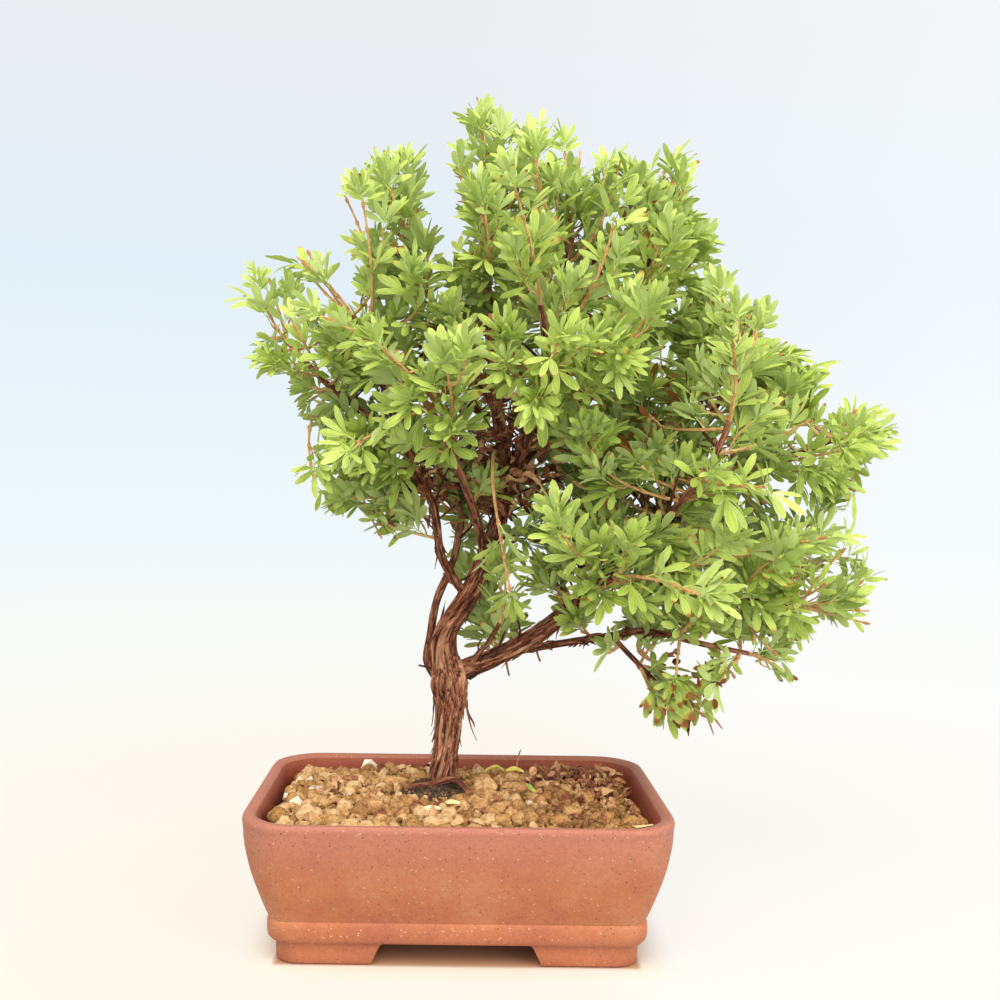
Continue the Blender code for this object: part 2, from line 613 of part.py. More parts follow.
def make_sprays(coll, trunk, routes, mat):
    rng = random.Random(SEED)
    bm = bmesh.new()
    bm.from_mesh(trunk.data)
    wood = tree_of(bm)
    bm.free()
    shoots = []
    trees = []
    for limb, ends in SHOOTS.items():
        for rank, end in enumerate(ends):
            fraction = 1.0 - 0.14 * rank
            best = None
            for attempt in range(24):
                shift = Vector([rng.uniform(-1, 1) * attempt * 0.9 for _ in range(3)])
                points = stem_route(routes[limb], fraction - 0.012 * (attempt // 6), end, rank == 0, shift)
                stem = tube("stem_test", points, 0, coll)
                test = bmesh.new()
                test.from_mesh(stem.data)
                bpy.data.objects.remove(stem)
                clear = swollen(test, 0.45)
                plain = tree_of(test)
                test.free()
                free_of_stems = not any(clear.overlap(other) for other in trees)
                if free_of_stems and not plain.overlap(wood):
                    best = (points, plain)
                    break
            if best:
                shoots.append((limb, best[0]))
                trees.append(best[1])
            else:
                print("no clear route for a shoot of", limb)
    blocks = list(trees)
    number = 0
    total = 0
    tufts = 0
    for index, (limb, points) in enumerate(shoots):
        number += 1
        name = "spray_%02d" % number
        pieces = new_collection(name + "_leaves")
        spray = tube(name, points, 0, coll, mat)
        own = []
        azimuth = rng.uniform(0, 360)
        span = (points[-1].xyz - points[0].xyz).length
        others = [tree for k, tree in enumerate(blocks) if k != index]
        middle = points[1].xyz.lerp(points[2].xyz, 0.3)
        for attempt in range(6):
            size = rng.uniform(0.92, 1.08) * (1 - 0.09 * attempt)
            tuft = tuft_bmesh(middle, (points[2].xyz - points[1].xyz).normalized(), size, rng)
            test = swollen(tuft, 0.3)
            if not any(test.overlap(other) for other in others) and not test.overlap(wood):
                own.append(tree_of(tuft))
                place_mesh(name + "_tuft", tuft, pieces, None)
                break
            tuft.free()
        tufts += len(own)
        sites = [0.99, 0.8] if span < 60 else [0.99, 0.82, 0.24]
        for rank, t in enumerate(sites):
            place = t * (len(points) - 1)
            low = min(int(place), len(points) - 2)
            base = points[low].xyz.lerp(points[low + 1].xyz, place - low)
            axis = (points[low + 1].xyz - points[low].xyz).normalized()
            azimuth += 137.5
            for attempt in range(16):
                turn = math.radians(azimuth + attempt * 47)
                side = axis.orthogonal().normalized()
                side.rotate(Matrix.Rotation(turn, 3, axis))
                spread = math.radians((34 if rank == 0 else 56) + rng.uniform(-9, 12))
                along = axis * math.cos(spread) + side * math.sin(spread)
                up = axis + Vector((0, 0, 0.5)) - side * 0.2
                lobes = 5 if rng.random() < FIVE_SHARE and attempt < 11 else 3
                size = rng.uniform(0.9, 1.08) * (1.0 if attempt < 11 else 0.8)
                leaf = leaf_bmesh(lobes, size, LEAF_THICK, rng)
                leaf.transform(leaf_frame(base, along, up))
                test = swollen(leaf, 0.35)
                hits = any(test.overlap(other) for other in others + own)
                if not hits and not test.overlap(wood):
                    own.append(tree_of(leaf))
                    place_mesh(name + "_leaf", leaf, pieces, None)
                    break
                leaf.free()
        total += len(own)
        blocks += own
        islands = fuse(spray, pieces)
        if islands > 1:
            print(name, "had", islands, "bodies")
        blocks[index] = trees[index]
    print("leaves", total, "sprays", number, "tufts", tufts)


def settle(coll):
    """Bring the middle of the model's foot to the origin."""
    graph = bpy.context.evaluated_depsgraph_get()
    low = Vector((1e9, 1e9, 1e9))
    high = -low
    for obj in coll.objects:
        mesh = obj.evaluated_get(graph).data
        for vert in mesh.vertices:
            low = Vector(map(min, low, vert.co))
            high = Vector(map(max, high, vert.co))
    stand = bpy.data.objects.new("bonsai_stand", None)
    coll.objects.link(stand)
    for obj in list(bpy.data.objects):
        if obj is not stand and obj.parent is None:
            obj.parent = stand
    stand.location = (-(low.x + high.x) / 2, -(low.y + high.y) / 2, -low.z)
    print("size", [round(v * 1000, 1) for v in high - low], "shift",
          [round(v * 1000, 2) for v in stand.location])


def main():
    start_empty()
    bonsai = new_collection("cinquefoil_bonsai")
    cutters = new_collection("cutters")
    make_pot(bonsai, cutters)
    make_drain_meshes(bonsai, cutters)
    make_soil(bonsai, cutters)
    make_root_ball(bonsai, cutters)
    trunk, routes = make_trunk(bonsai, material("bark", (0.20, 0.10, 0.06), 0.9))
    make_sprays(bonsai, trunk, routes, material("leaf", (0.22, 0.42, 0.06), 0.6))
    settle(bonsai)


main()
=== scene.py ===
# Shrubby cinquefoil bonsai in a clay pot: the finished look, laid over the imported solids
import random
from math import acos, copysign, cos, exp, hypot, pi, radians, sin, sqrt, tan

import bmesh
import bpy
import numpy as np
from mathutils import Matrix, Vector, noise


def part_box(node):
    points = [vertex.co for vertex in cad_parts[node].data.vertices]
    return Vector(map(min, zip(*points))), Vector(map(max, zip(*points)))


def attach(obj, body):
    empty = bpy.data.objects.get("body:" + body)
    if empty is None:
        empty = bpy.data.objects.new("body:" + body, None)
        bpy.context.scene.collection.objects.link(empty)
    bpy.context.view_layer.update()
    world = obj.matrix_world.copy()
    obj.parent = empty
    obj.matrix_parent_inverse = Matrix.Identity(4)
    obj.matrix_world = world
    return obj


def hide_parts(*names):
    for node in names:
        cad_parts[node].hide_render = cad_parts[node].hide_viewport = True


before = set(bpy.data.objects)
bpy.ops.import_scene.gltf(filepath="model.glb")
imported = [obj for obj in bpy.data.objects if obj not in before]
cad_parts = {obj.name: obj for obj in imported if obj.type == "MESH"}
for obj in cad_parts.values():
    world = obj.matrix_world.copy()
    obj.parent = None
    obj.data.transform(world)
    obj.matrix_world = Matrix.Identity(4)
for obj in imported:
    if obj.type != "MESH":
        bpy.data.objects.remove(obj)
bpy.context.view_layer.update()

mm = 0.001
potLow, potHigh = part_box("pot")
potMid = Vector(((potLow[0] + potHigh[0]) / 2, (potLow[1] + potHigh[1]) / 2, 0))


def at(x, y, z):  # a point in mm from the middle of the pot's foot
    return potMid + Vector((x, y, z)) * mm


def fromPot(point):  # the other way round, without the height
    return (point.x - potMid.x) / mm, (point.y - potMid.y) / mm


def clamp(value):
    return max(0.0, min(1.0, value))


def hexColour(code):
    parts = [int(code[i:i + 2], 16) / 255 for i in (1, 3, 5)]
    return tuple(c / 12.92 if c <= 0.04045 else ((c + 0.055) / 1.055) ** 2.4 for c in parts) + (1.0,)


def selectOnly(piece=None):
    if bpy.context.object and bpy.context.object.mode != "OBJECT":
        bpy.ops.object.mode_set(mode="OBJECT")
    bpy.ops.object.select_all(action="DESELECT")
    if piece:
        piece.select_set(True)
        bpy.context.view_layer.objects.active = piece


def addPiece(operator, name, place=(0, 0, 0), scale=(1, 1, 1), **options):
    selectOnly()
    operator(location=place, **options)
    piece = bpy.context.object
    piece.name = name
    piece.scale = scale
    bpy.ops.object.transform_apply(location=True, rotation=True, scale=True)
    return piece


def modify(piece, kind, **settings):
    mod = piece.modifiers.new(kind, kind)
    for key, value in settings.items():
        setattr(mod, key, value)


def applyAll(piece):
    selectOnly(piece)
    for mod in list(piece.modifiers):
        bpy.ops.object.modifier_apply(modifier=mod.name)


def faceOutwards():  # ends edit mode
    bpy.ops.mesh.select_all(action="SELECT")
    bpy.ops.mesh.normals_make_consistent(inside=False)
    bpy.ops.object.mode_set(mode="OBJECT")


def finishPiece(piece, materials, smooth=None, nodes=()):  # smoothed below this angle in degrees
    for mat in materials:
        piece.data.materials.append(mat)
    if smooth:
        selectOnly(piece)
        bpy.ops.object.shade_smooth_by_angle(angle=radians(smooth))
    if nodes:
        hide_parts(*nodes)
    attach(piece, "root")


# Camera: level, about half a metre in front of the pot

cameraSettings = {"place": (-3.2, -457, 182), "lens": 38.0, "sensor": 36.0, "roll": -0.7, "shift": 0.0458}

camData = bpy.data.cameras.new("photoCamera")
camData.lens = cameraSettings["lens"]
camData.sensor_width = cameraSettings["sensor"]
camData.clip_start = 0.01
camData.shift_x = cameraSettings["shift"]
camera = bpy.data.objects.new("photoCamera", camData)
bpy.context.scene.collection.objects.link(camera)
camera.location = at(*cameraSettings["place"])
camera.rotation_euler = (radians(90), radians(cameraSettings["roll"]), 0)
bpy.context.scene.camera = camera
print("camera set")


# Materials: each named for the real finish

def addNode(tree, kind, sockets=None, out=0, stops=(), **settings):
    node = tree.nodes.new("ShaderNode" + kind)
    if kind == "Mix":  # only colours are mixed here
        settings["data_type"] = "RGBA"
        out = 2
    for key, value in settings.items():
        setattr(node, key, value)
    for socket, value in (sockets or {}).items():
        if isinstance(value, bpy.types.NodeSocket):
            tree.links.new(value, node.inputs[socket])
        else:
            node.inputs[socket].default_value = hexColour(value) if isinstance(value, str) else value
    for index, (place, colour) in enumerate(stops):  # a ramp has two stops of its own
        stop = node.color_ramp.elements[index] if index < 2 else node.color_ramp.elements.new(place)
        stop.position = place
        stop.color = hexColour(colour) if isinstance(colour, str) else (colour, colour, colour, 1)
    return node.outputs[out]


def newMaterial(name):
    mat = bpy.data.materials.new(name)
    mat.use_nodes = True
    return mat, mat.node_tree, addNode(mat.node_tree, "TexCoord", out="Object")


def finishMaterial(mat, roughness, specular, colour, bump=None):
    shader = mat.node_tree.nodes["Principled BSDF"]
    shader.inputs["Roughness"].default_value = roughness
    shader.inputs["Specular IOR Level"].default_value = specular
    mat.node_tree.links.new(colour, shader.inputs["Base Color"])
    if bump:
        mat.node_tree.links.new(bump, shader.inputs["Normal"])
    return mat


claySettings = {
    "pale": "#AF7350", "mid": "#A86540", "deep": "#9D593E", "rim": "#9E6350", "burnt": "#A74D26",
    "iron": "#452619", "grog": "#D8B79E", "inner": "#DDAA8C", "speckMm": 1.15,
    # size in mm, detail and roughness of each pattern; the body's sand is 0.3 mm and wouldn't show, so
    # it is drawn three times coarser
    "patch": (26.0, 6.0, 0.62), "flame": (1000 / 74, 7.0, 0.7), "sand": (0.9, 3.0, 0.7),
    "grain": (0.6, 4.0, 0.5)}


def makeClay(name, shade):  # unglazed stoneware, wiped smooth: dull and speckled, with a painted mauve sheen over its upper wall and lip, darker towards the foot as painted shade, and, with shade set, painted shade on the wall's inside
    mat, tree, coords = newMaterial(name)
    patch, flame, sand, grain = [
        addNode(tree, "TexNoise", {"Vector": coords, "Scale": 1000 / size, "Detail": detail,
                                   "Roughness": rough})
        for size, detail, rough in [claySettings[key] for key in ("patch", "flame", "sand", "grain")]]
    colour = addNode(tree, "ValToRGB", {0: patch}, stops=[
        (0.32, claySettings["deep"]), (0.50, claySettings["mid"]), (0.68, claySettings["pale"])])
    burnt = addNode(tree, "MapRange", {0: flame, 1: 0.54, 2: 0.72, 4: 0.55})
    height = addNode(tree, "SeparateXYZ", {0: coords}, "Z")
    # painted sheen: the upper wall and lip are tinted mauve by height
    rim = addNode(tree, "MapRange", {0: height, 1: 0.030, 2: 0.0572, 4: 0.85},
                  interpolation_type="SMOOTHSTEP")
    # painted shade: darker towards the foot, under the belly
    low = addNode(tree, "MapRange", {0: height, 1: 0.020, 2: 0.011, 4: 0.4})
    sand = addNode(tree, "ValToRGB", {0: sand}, stops=[(0.36, 0.80), (0.60, 1.0)])
    layers = [(burnt, "burnt", "MIX"), (rim, "rim", "MIX"), (low, "deep", "MIX"), (1.0, sand, "MULTIPLY")]
    speck = addNode(tree, "TexVoronoi", {"Vector": coords, "Scale": 1000 / claySettings["speckMm"]})
    dots = addNode(tree, "MapRange", {0: speck, 1: 0.12, 2: 0.34, 3: 1.0, 4: 0.0})
    chance = addNode(tree, "SeparateColor", {0: speck.node.outputs["Color"]})
    for channel, limit, share, name in (("Red", 0.87, 0.95, "iron"), ("Green", 0.90, 0.6, "grog")):
        chosen = addNode(tree, "MapRange", {0: chance.node.outputs[channel], 1: limit, 2: limit + 0.06,
                                            4: share})
        layers.append((addNode(tree, "Math", {0: chosen, 1: dots}, operation="MULTIPLY"), name, "MIX"))
    # painted shade: the inside of the wall is multiplied darker
    if shade:
        layers.append((1.0, "inner", "MULTIPLY"))
    for share, tint, blend in layers:
        tint = claySettings[tint] if isinstance(tint, str) else tint
        colour = addNode(tree, "Mix", {0: share, 6: colour, 7: tint}, blend_type=blend)
    bump = addNode(tree, "Bump", {"Height": grain, "Strength": 0.25, "Distance": 0.0003})
    wipe = addNode(tree, "Bump", {"Height": patch, "Strength": 0.3, "Distance": 0.0016, "Normal": bump})
    return finishMaterial(mat, 0.62, 0.35, colour, wipe)


barkSettings = {
    "dark": "#351C13", "mid": "#84492F", "light": "#C99772", "crease": "#1F100B", "weathered": "#9A7458",
    "dead": "#3B2016", "cut": "#D9BFA0", "patchMm": 1000 / 120,
    # size in mm across and along the grain, detail, roughness and distortion
    "fibre": (0.9, 6.5, 8.0, 0.68, 1.3), "strip": (3.4, 22.0, 3.0, 0.55, 1.6)}


def makeBark():  # peeling shrub bark: long torn fibres, red-brown below and grey-tan where weathered, with painted shade in its creases
    mat, tree, coords = newMaterial("peelingBark")
    uv = addNode(tree, "UVMap", uv_map="along")
    grains = []
    for across, run, detail, rough, bent in (barkSettings["fibre"], barkSettings["strip"]):
        stretch = addNode(tree, "Mapping", {"Vector": uv, "Scale": (1000 / across, 1000 / run, 1.0)})
        grains.append(addNode(tree, "TexNoise", {"Vector": stretch, "Scale": 1.0, "Detail": detail,
                                                 "Roughness": rough, "Distortion": bent}))
    fibre = addNode(tree, "Math", {0: grains[1], 1: 0.55, 2: grains[0]}, operation="MULTIPLY_ADD")
    colour = addNode(tree, "ValToRGB", {0: fibre}, stops=[
        (0.66, barkSettings["dark"]), (0.77, barkSettings["mid"]), (0.95, barkSettings["light"])])
    patch = addNode(tree, "TexNoise", {"Vector": coords, "Scale": 1000 / barkSettings["patchMm"],
                                       "Detail": 3.0})
    weathered = addNode(tree, "MapRange", {0: patch, 1: 0.45, 2: 0.7, 4: 0.7})
    # red is how far the bark stands out, green how dead and dark the twig is, blue how pale a cut is
    tint = addNode(tree, "Attribute", attribute_name="tint")
    tint = addNode(tree, "SeparateColor", {0: tint})
    # painted shade: the bark is darkened where it sits low, in its creases
    crease = addNode(tree, "MapRange", {0: tint, 1: 0.42, 2: 0.12, 4: 0.9})
    light = addNode(tree, "MapRange", {0: tint, 1: 0.62, 2: 0.95, 4: 0.6})
    for share, name in ((weathered, "weathered"), (crease, "crease"), (light, "light"),
                        (tint.node.outputs["Green"], "dead"), (tint.node.outputs["Blue"], "cut")):
        colour = addNode(tree, "Mix", {0: share, 6: colour, 7: barkSettings[name]},
                         blend_type="OVERLAY" if name == "weathered" else "MIX")
    bump = addNode(tree, "Bump", {"Height": fibre, "Strength": 1.0, "Distance": 0.0013})
    return finishMaterial(mat, 0.82, 0.25, colour, bump)


leafSettings = {"oldAndShaded": "#9FB644", "mid": "#BDD05C", "young": "#CDDD7A", "margin": "#EEF3C0",
                "rib": "#DDEB98", "under": "#CFDDA0", "scorched": "#9A5E2E", "yellowed": "#DCC455",
                "through": 0.42, "mottleMm": 1000 / 260}


def makeLeafSkin():  # soft downy leaf: matt sheen, pale margin and midrib, light comes through it
    mat, tree, coords = newMaterial("leafSkin")
    uv = addNode(tree, "UVMap", uv_map="leaf")
    across = addNode(tree, "SeparateXYZ", {0: uv})
    along = across.node.outputs["Y"]
    # red is the leaf's tone, from old to young and also from painted shade deep in the crown to painted light
    # at its skin and higher up; green how far it is scorched from its tip
    tint = addNode(tree, "Attribute", attribute_name="tint")
    tone = addNode(tree, "SeparateColor", {0: tint})
    colour = addNode(tree, "ValToRGB", {0: tone}, stops=[
        (0.05, leafSettings["oldAndShaded"]), (0.5, leafSettings["mid"]), (0.95, leafSettings["young"])])
    mottle = addNode(tree, "TexNoise", {"Vector": coords, "Scale": 1000 / leafSettings["mottleMm"],
                                        "Detail": 2.0})
    shade = addNode(tree, "ValToRGB", {0: mottle}, stops=[(0.35, 0.84), (0.65, 1.0)])
    colour = addNode(tree, "Mix", {0: 1.0, 6: colour, 7: shade}, blend_type="MULTIPLY")
    side = addNode(tree, "Math", {0: across, 1: 0.5}, operation="SUBTRACT")
    side = addNode(tree, "Math", {0: side}, operation="ABSOLUTE")
    margin = addNode(tree, "MapRange", {0: side, 1: 0.42, 2: 0.5, 4: 0.85})
    rib = addNode(tree, "MapRange", {0: side, 1: 0.0, 2: 0.06, 3: 0.55, 4: 0.0})
    under = addNode(tree, "Math", {0: along, 1: 1.5}, operation="GREATER_THAN")
    under = addNode(tree, "Math", {0: under, 1: 0.45}, operation="MULTIPLY")
    run = addNode(tree, "Math", {0: along, 1: 2.0}, operation="MODULO")
    reach = addNode(tree, "Math", {0: run, 1: tone.node.outputs["Green"]}, operation="ADD")
    reach = addNode(tree, "Math", {0: mottle, 1: 0.3, 2: reach}, operation="MULTIPLY_ADD")
    yellow = addNode(tree, "MapRange", {0: reach, 1: 1.14, 2: 1.28, 4: 0.6})
    scorch = addNode(tree, "MapRange", {0: reach, 1: 1.24, 2: 1.36, 4: 0.95})
    for share, name in ((margin, "margin"), (rib, "rib"), (under, "under"), (yellow, "yellowed"),
                        (scorch, "scorched")):
        colour = addNode(tree, "Mix", {0: share, 6: colour, 7: leafSettings[name]})
    finishMaterial(mat, 0.48, 0.35, colour)
    shader = tree.nodes["Principled BSDF"]
    through = addNode(tree, "BsdfTranslucent", {"Color": colour})
    mix = addNode(tree, "MixShader", {0: leafSettings["through"], 1: shader.outputs[0], 2: through})
    tree.links.new(mix, tree.nodes["Material Output"].inputs["Surface"])
    return mat


def makeMottled(name, stops, grainMm, roughness, bumpMm, specular=0.3, tinted=False):
    mat, tree, coords = newMaterial(name)
    grain = addNode(tree, "TexNoise", {"Vector": coords, "Scale": 1000 / grainMm, "Detail": 6.0,
                                       "Roughness": 0.65})
    factor = grain
    if tinted:  # mostly the tint of each copy, with some grain
        tint = addNode(tree, "Attribute", attribute_name="tint")
        factor = addNode(tree, "SeparateColor", {0: tint})
        factor = addNode(tree, "Math", {0: factor, 1: 0.6}, operation="MULTIPLY")
        pits = addNode(tree, "MapRange", {0: grain, 1: 0.34, 2: 0.62})
        factor = addNode(tree, "Math", {0: pits, 1: 0.4, 2: factor}, operation="MULTIPLY_ADD")
    colour = addNode(tree, "ValToRGB", {0: factor}, stops=stops)
    bump = addNode(tree, "Bump", {"Height": grain, "Strength": 0.7, "Distance": bumpMm * mm})
    return finishMaterial(mat, roughness, specular, colour, bump)


clayOutside = makeClay("unglazedClay", False)
clayShadedInside = makeClay("unglazedClayShadedInside", True)
barkSkin = makeBark()
leafSkin = makeLeafSkin()
# young wood: thin smooth bark, tan with some green left in it
shootSkin = makeMottled("youngShootBark", [(0.30, "#96683E"), (0.50, "#BC8E5C"), (0.70, "#AEA65C")],
                        2.4, 0.55, 0.1)
# papery sheaths where leaves leave the stem: dry, thin and rusty
sheathSkin = makeMottled("dryPaperySheath", [(0.3, "#8A5630"), (0.7, "#D0A268")], 1.2, 0.8, 0.15)
# baked clay granules: dusty, pitted, ochre
akadamaSkin = makeMottled("akadamaGranule", [(0.08, "#5C3D26"), (0.32, "#91673C"), (0.60, "#B68A57"),
                                             (0.92, "#D6B68A")], 1.5, 0.95, 2.6, 0.1, True)
# peaty compost: nearly black, damp and fibrous
peatSkin = makeMottled("peatyCompost", [(0.38, "#21160F"), (0.52, "#44301F"), (0.66, "#86664C")],
                       1.6, 0.7, 1.0, 0.35)
# leaves and bark bits gone dry: matt, curled, brown
litterSkin = makeMottled("dryLeafLitter", [(0.12, "#43241A"), (0.42, "#7E4A2E"), (0.85, "#C0966A")],
                         1.6, 0.85, 0.3, 0.2, True)
# fallen leaves and straws, smooth and still green to cream
straySkin = makeMottled("yellowedLeaf", [(0.2, "#7E9A48"), (0.45, "#C8AE4A"), (0.8, "#D2C69A")],
                        2.0, 0.6, 0.1, 0.3, True)
# river pebbles: hard, faintly glossy, nearly white
pebbleSkin = makeMottled("quartzPebble", [(0.1, "#7C736A"), (0.4, "#BCAB94"), (0.7, "#E4D9C4")],
                         2.0, 0.55, 0.2, 0.3, True)
# moulded polyethylene mesh: black with a soft gloss
meshSkin = makeMottled("mouldedPolyethylene", [(0.3, "#141414"), (0.7, "#1F1F1F")], 0.8, 0.42, 0.05)
print("materials made")


# Pot: a rounded rectangle drawn up level by level, then the feet are cut free

potSettings = {"rim": 168.8, "depthLess": 53.0, "footHeight": 9.0, "band": 8.2, "waist": 17.6,
               "corner": 9.0, "rimCorner": 18.0, "bow": (1.8, 3.0), "sideBow": 2.0, "belly": 1.55,
               "floor": 16.0, "drainX": 38, "drainRadius": 7.0, "fillet": 2.2, "worn": 1.0,
               "inner": (16.5, 56.9),  # heights between which the wall's inside gets painted shade
               # half sizes at the bottom and the top of what is cut away between the feet
               "gaps": (((34.2, 80), (29.4, 80)), ((100, 21), (100, 17)), ((60, 33.5), (58, 31.5)))}


def potLevels():  # (width, height) of each level, up the outside and down the inside
    low = potSettings["footHeight"]
    levels = [(141.4, 0.0), (142.9, 0.4), (143.6, 1.1), (144.0, 4.0), (144.3, low - 0.6), (145.0, low + 0.1)]
    for k in range(1, 10):  # the band round the foot, half a roll
        turn = pi * k / 10
        levels.append((146.6 + 0.23 * k + 2.5 * sin(turn) ** 0.8,
                       low + 0.1 + potSettings["band"] * (1 - cos(turn)) / 2))
    levels.append((148.9, potSettings["waist"]))
    for k in range(1, 11):  # the belly leans out to the rim
        wide = potSettings["rim"] - 19.9 * (1 - k / 10) ** potSettings["belly"]
        levels.append((wide, potSettings["waist"] + 35.8 * k / 10))
    # the rolled lip and the inner wall
    levels += [(169.0, 54.4), (169.3, 55.2), (169.4, 56.2), (169.0, 57.1), (167.9, 57.8),
               (166.2, 58.0), (164.0, 57.9), (161.6, 57.4), (159.6, 56.5), (158.0, 55.0), (157.0, 53.0),
               (155.4, 49.0), (151.0, 40.0), (144.0, 22.0), (138.0, potSettings["floor"])]
    return levels


def outlineSpot(x, y, halfX, halfY, radius):  # the same point, moved to a rounded rectangle's outline
    overX = abs(x) - (halfX - radius)
    overY = abs(y) - (halfY - radius)
    if overX > 0 and overY > 0:
        grow = radius / hypot(overX, overY)
        return (copysign(halfX - radius + overX * grow, x),
                copysign(halfY - radius + overY * grow, y))
    if overX > overY:
        return copysign(halfX, x), y
    return x, copysign(halfY, y)


def drawPot():
    levels = potLevels()
    less = potSettings["depthLess"]
    pot = addPiece(bpy.ops.mesh.primitive_plane_add, "clayPot", potMid,
                   (levels[0][0] * mm, (levels[0][0] - less) * mm, 1), size=1)
    bpy.ops.object.mode_set(mode="EDIT")
    bpy.ops.mesh.select_all(action="SELECT")
    bpy.ops.mesh.bevel(offset=potSettings["rimCorner"] * mm, segments=14, affect="VERTICES")
    bm = bmesh.from_edit_mesh(pot.data)
    for edge in bm.edges:  # the straight sides get more points, to bow out later
        edge.select = edge.calc_length() > 0.02
    bm.select_flush_mode()
    bpy.ops.mesh.subdivide(number_cuts=11)
    bpy.ops.mesh.select_all(action="SELECT")
    for (lastWide, lastZ), (wide, z) in zip(levels, levels[1:]):
        bpy.ops.mesh.extrude_region_move(TRANSFORM_OT_translate={"value": (0, 0, (z - lastZ) * mm)})
        bpy.ops.transform.resize(value=(wide / lastWide, (wide - less) / (lastWide - less), 1),
                                 center_override=(potMid.x, potMid.y, z * mm))
        rise = clamp((z - potSettings["waist"]) / 36.0)
        radius = potSettings["corner"] + (potSettings["rimCorner"] - potSettings["corner"]) * rise
        if wide < 160 and z > 20 and wide < lastWide:
            radius = max(12.0, 0.5 * radius + 7.5)  # the inner wall's corners
        bm = bmesh.from_edit_mesh(pot.data)
        for vert in bm.verts:
            if vert.select:
                spot = outlineSpot(*fromPot(vert.co), wide / 2, (wide - less) / 2, radius)
                vert.co.xy = at(*spot, 0).xy
        bmesh.update_edit_mesh(pot.data)
    faceOutwards()
    for vert in pot.data.vertices:  # the long sides bow out a little
        x, y = fromPot(vert.co)
        grow = clamp((vert.co.z / mm - 16) / 30)
        if abs(y) > 36:
            bow = potSettings["bow"][int(y > 0)]
            vert.co.y += copysign(bow * grow * max(0, 1 - (x / 80) ** 2), y) * mm
        if abs(x) > 60:
            bow = potSettings["sideBow"] * max(0, 1 - ((y - 12) / 62) ** 2)
            vert.co.x += copysign(bow * grow, x) * mm
    return pot


def makePot():
    pot = drawPot()
    cutters = []
    top = potSettings["footHeight"]
    for low, high in potSettings["gaps"]:
        cutter = addPiece(bpy.ops.mesh.primitive_cube_add, "cutter", at(-0.3, 0, (top - 1) / 2),
                          (2 * low[0] * mm, 2 * low[1] * mm, (top + 1) * mm), size=1)
        for vert in cutter.data.vertices:
            if vert.co.z > 0.005:
                x, y = fromPot(vert.co)
                vert.co.xy = at(x * high[0] / low[0], y * high[1] / low[1], 0).xy
        # the feet run into the band in a soft curve
        modify(cutter, "BEVEL", width=potSettings["fillet"] * mm, segments=4)
        applyAll(cutter)
        cutters.append(cutter)
    for x in (-potSettings["drainX"], potSettings["drainX"]):
        cutters.append(addPiece(bpy.ops.mesh.primitive_cylinder_add, "cutter", at(x, 0, 12), vertices=40,
                                radius=potSettings["drainRadius"] * mm, depth=0.03))
    for cutter in cutters:
        modify(pot, "BOOLEAN", operation="DIFFERENCE", object=cutter)
    applyAll(pot)
    for cutter in cutters:
        bpy.data.objects.remove(cutter, do_unlink=True)
    modify(pot, "BEVEL", width=potSettings["worn"] * mm, segments=3, limit_method="ANGLE",
           angle_limit=radians(55))
    applyAll(pot)
    finishPiece(pot, [clayOutside, clayShadedInside], 38, ["pot"])
    low, high = potSettings["inner"]
    for face in pot.data.polygons:
        centre = face.center - potMid
        inward = centre.x * face.normal.x + centre.y * face.normal.y < 0
        face.material_index = int(inward and low < centre.z / mm < high and abs(face.normal.z) < 0.6)


makePot()
print("pot made")


# Piles: a piece that is modelled once is read into arrays, and many copies are laid in one mesh

def readShape(piece, uvName=None):
    mesh = piece.data
    verts = np.array([v.co[:] for v in mesh.vertices])
    faces = [tuple(p.vertices) for p in mesh.polygons]
    uv = np.zeros((len(mesh.loops), 2))
    if uvName:
        uv = np.array([d.uv[:] for d in mesh.uv_layers[uvName].data])
    bpy.data.objects.remove(piece, do_unlink=True)
    return {"verts": verts, "faces": faces, "uv": uv}


def newPile():
    return {"verts": [], "faces": [], "uv": [], "tint": [], "slots": [], "count": 0}


def lay(pile, shape, matrix, tint=None, slot=0):
    turn = np.array(matrix)
    verts = shape["verts"] @ turn[:3, :3].T + turn[:3, 3]
    base = pile["count"]
    pile["verts"].append(verts)
    pile["faces"] += [tuple(i + base for i in face) for face in shape["faces"]]
    pile["uv"].append(shape["uv"])
    colours = np.tile((*(tint or (0.5, 0, 0)), 1.0), (len(verts), 1))
    if tint is None and "tone" in shape:
        colours[:, 0] = shape["tone"]
    pile["tint"].append(colours)
    pile["slots"] += [slot] * len(shape["faces"])
    pile["count"] += len(verts)


def settle(pile, name, materials, uvName, smooth=50, nodes=()):
    mesh = bpy.data.meshes.new(name)
    mesh.from_pydata(np.concatenate(pile["verts"]).tolist(), [], pile["faces"])
    layer = mesh.uv_layers.new(name=uvName)
    layer.data.foreach_set("uv", np.concatenate(pile["uv"]).ravel())
    tint = mesh.color_attributes.new("tint", "FLOAT_COLOR", "POINT")
    tint.data.foreach_set("color", np.concatenate(pile["tint"]).ravel())
    mesh.polygons.foreach_set("material_index", pile["slots"])
    mesh.update()
    piece = bpy.data.objects.new(name, mesh)
    bpy.context.scene.collection.objects.link(piece)
    finishPiece(piece, materials, smooth, nodes)
    return len(mesh.polygons)


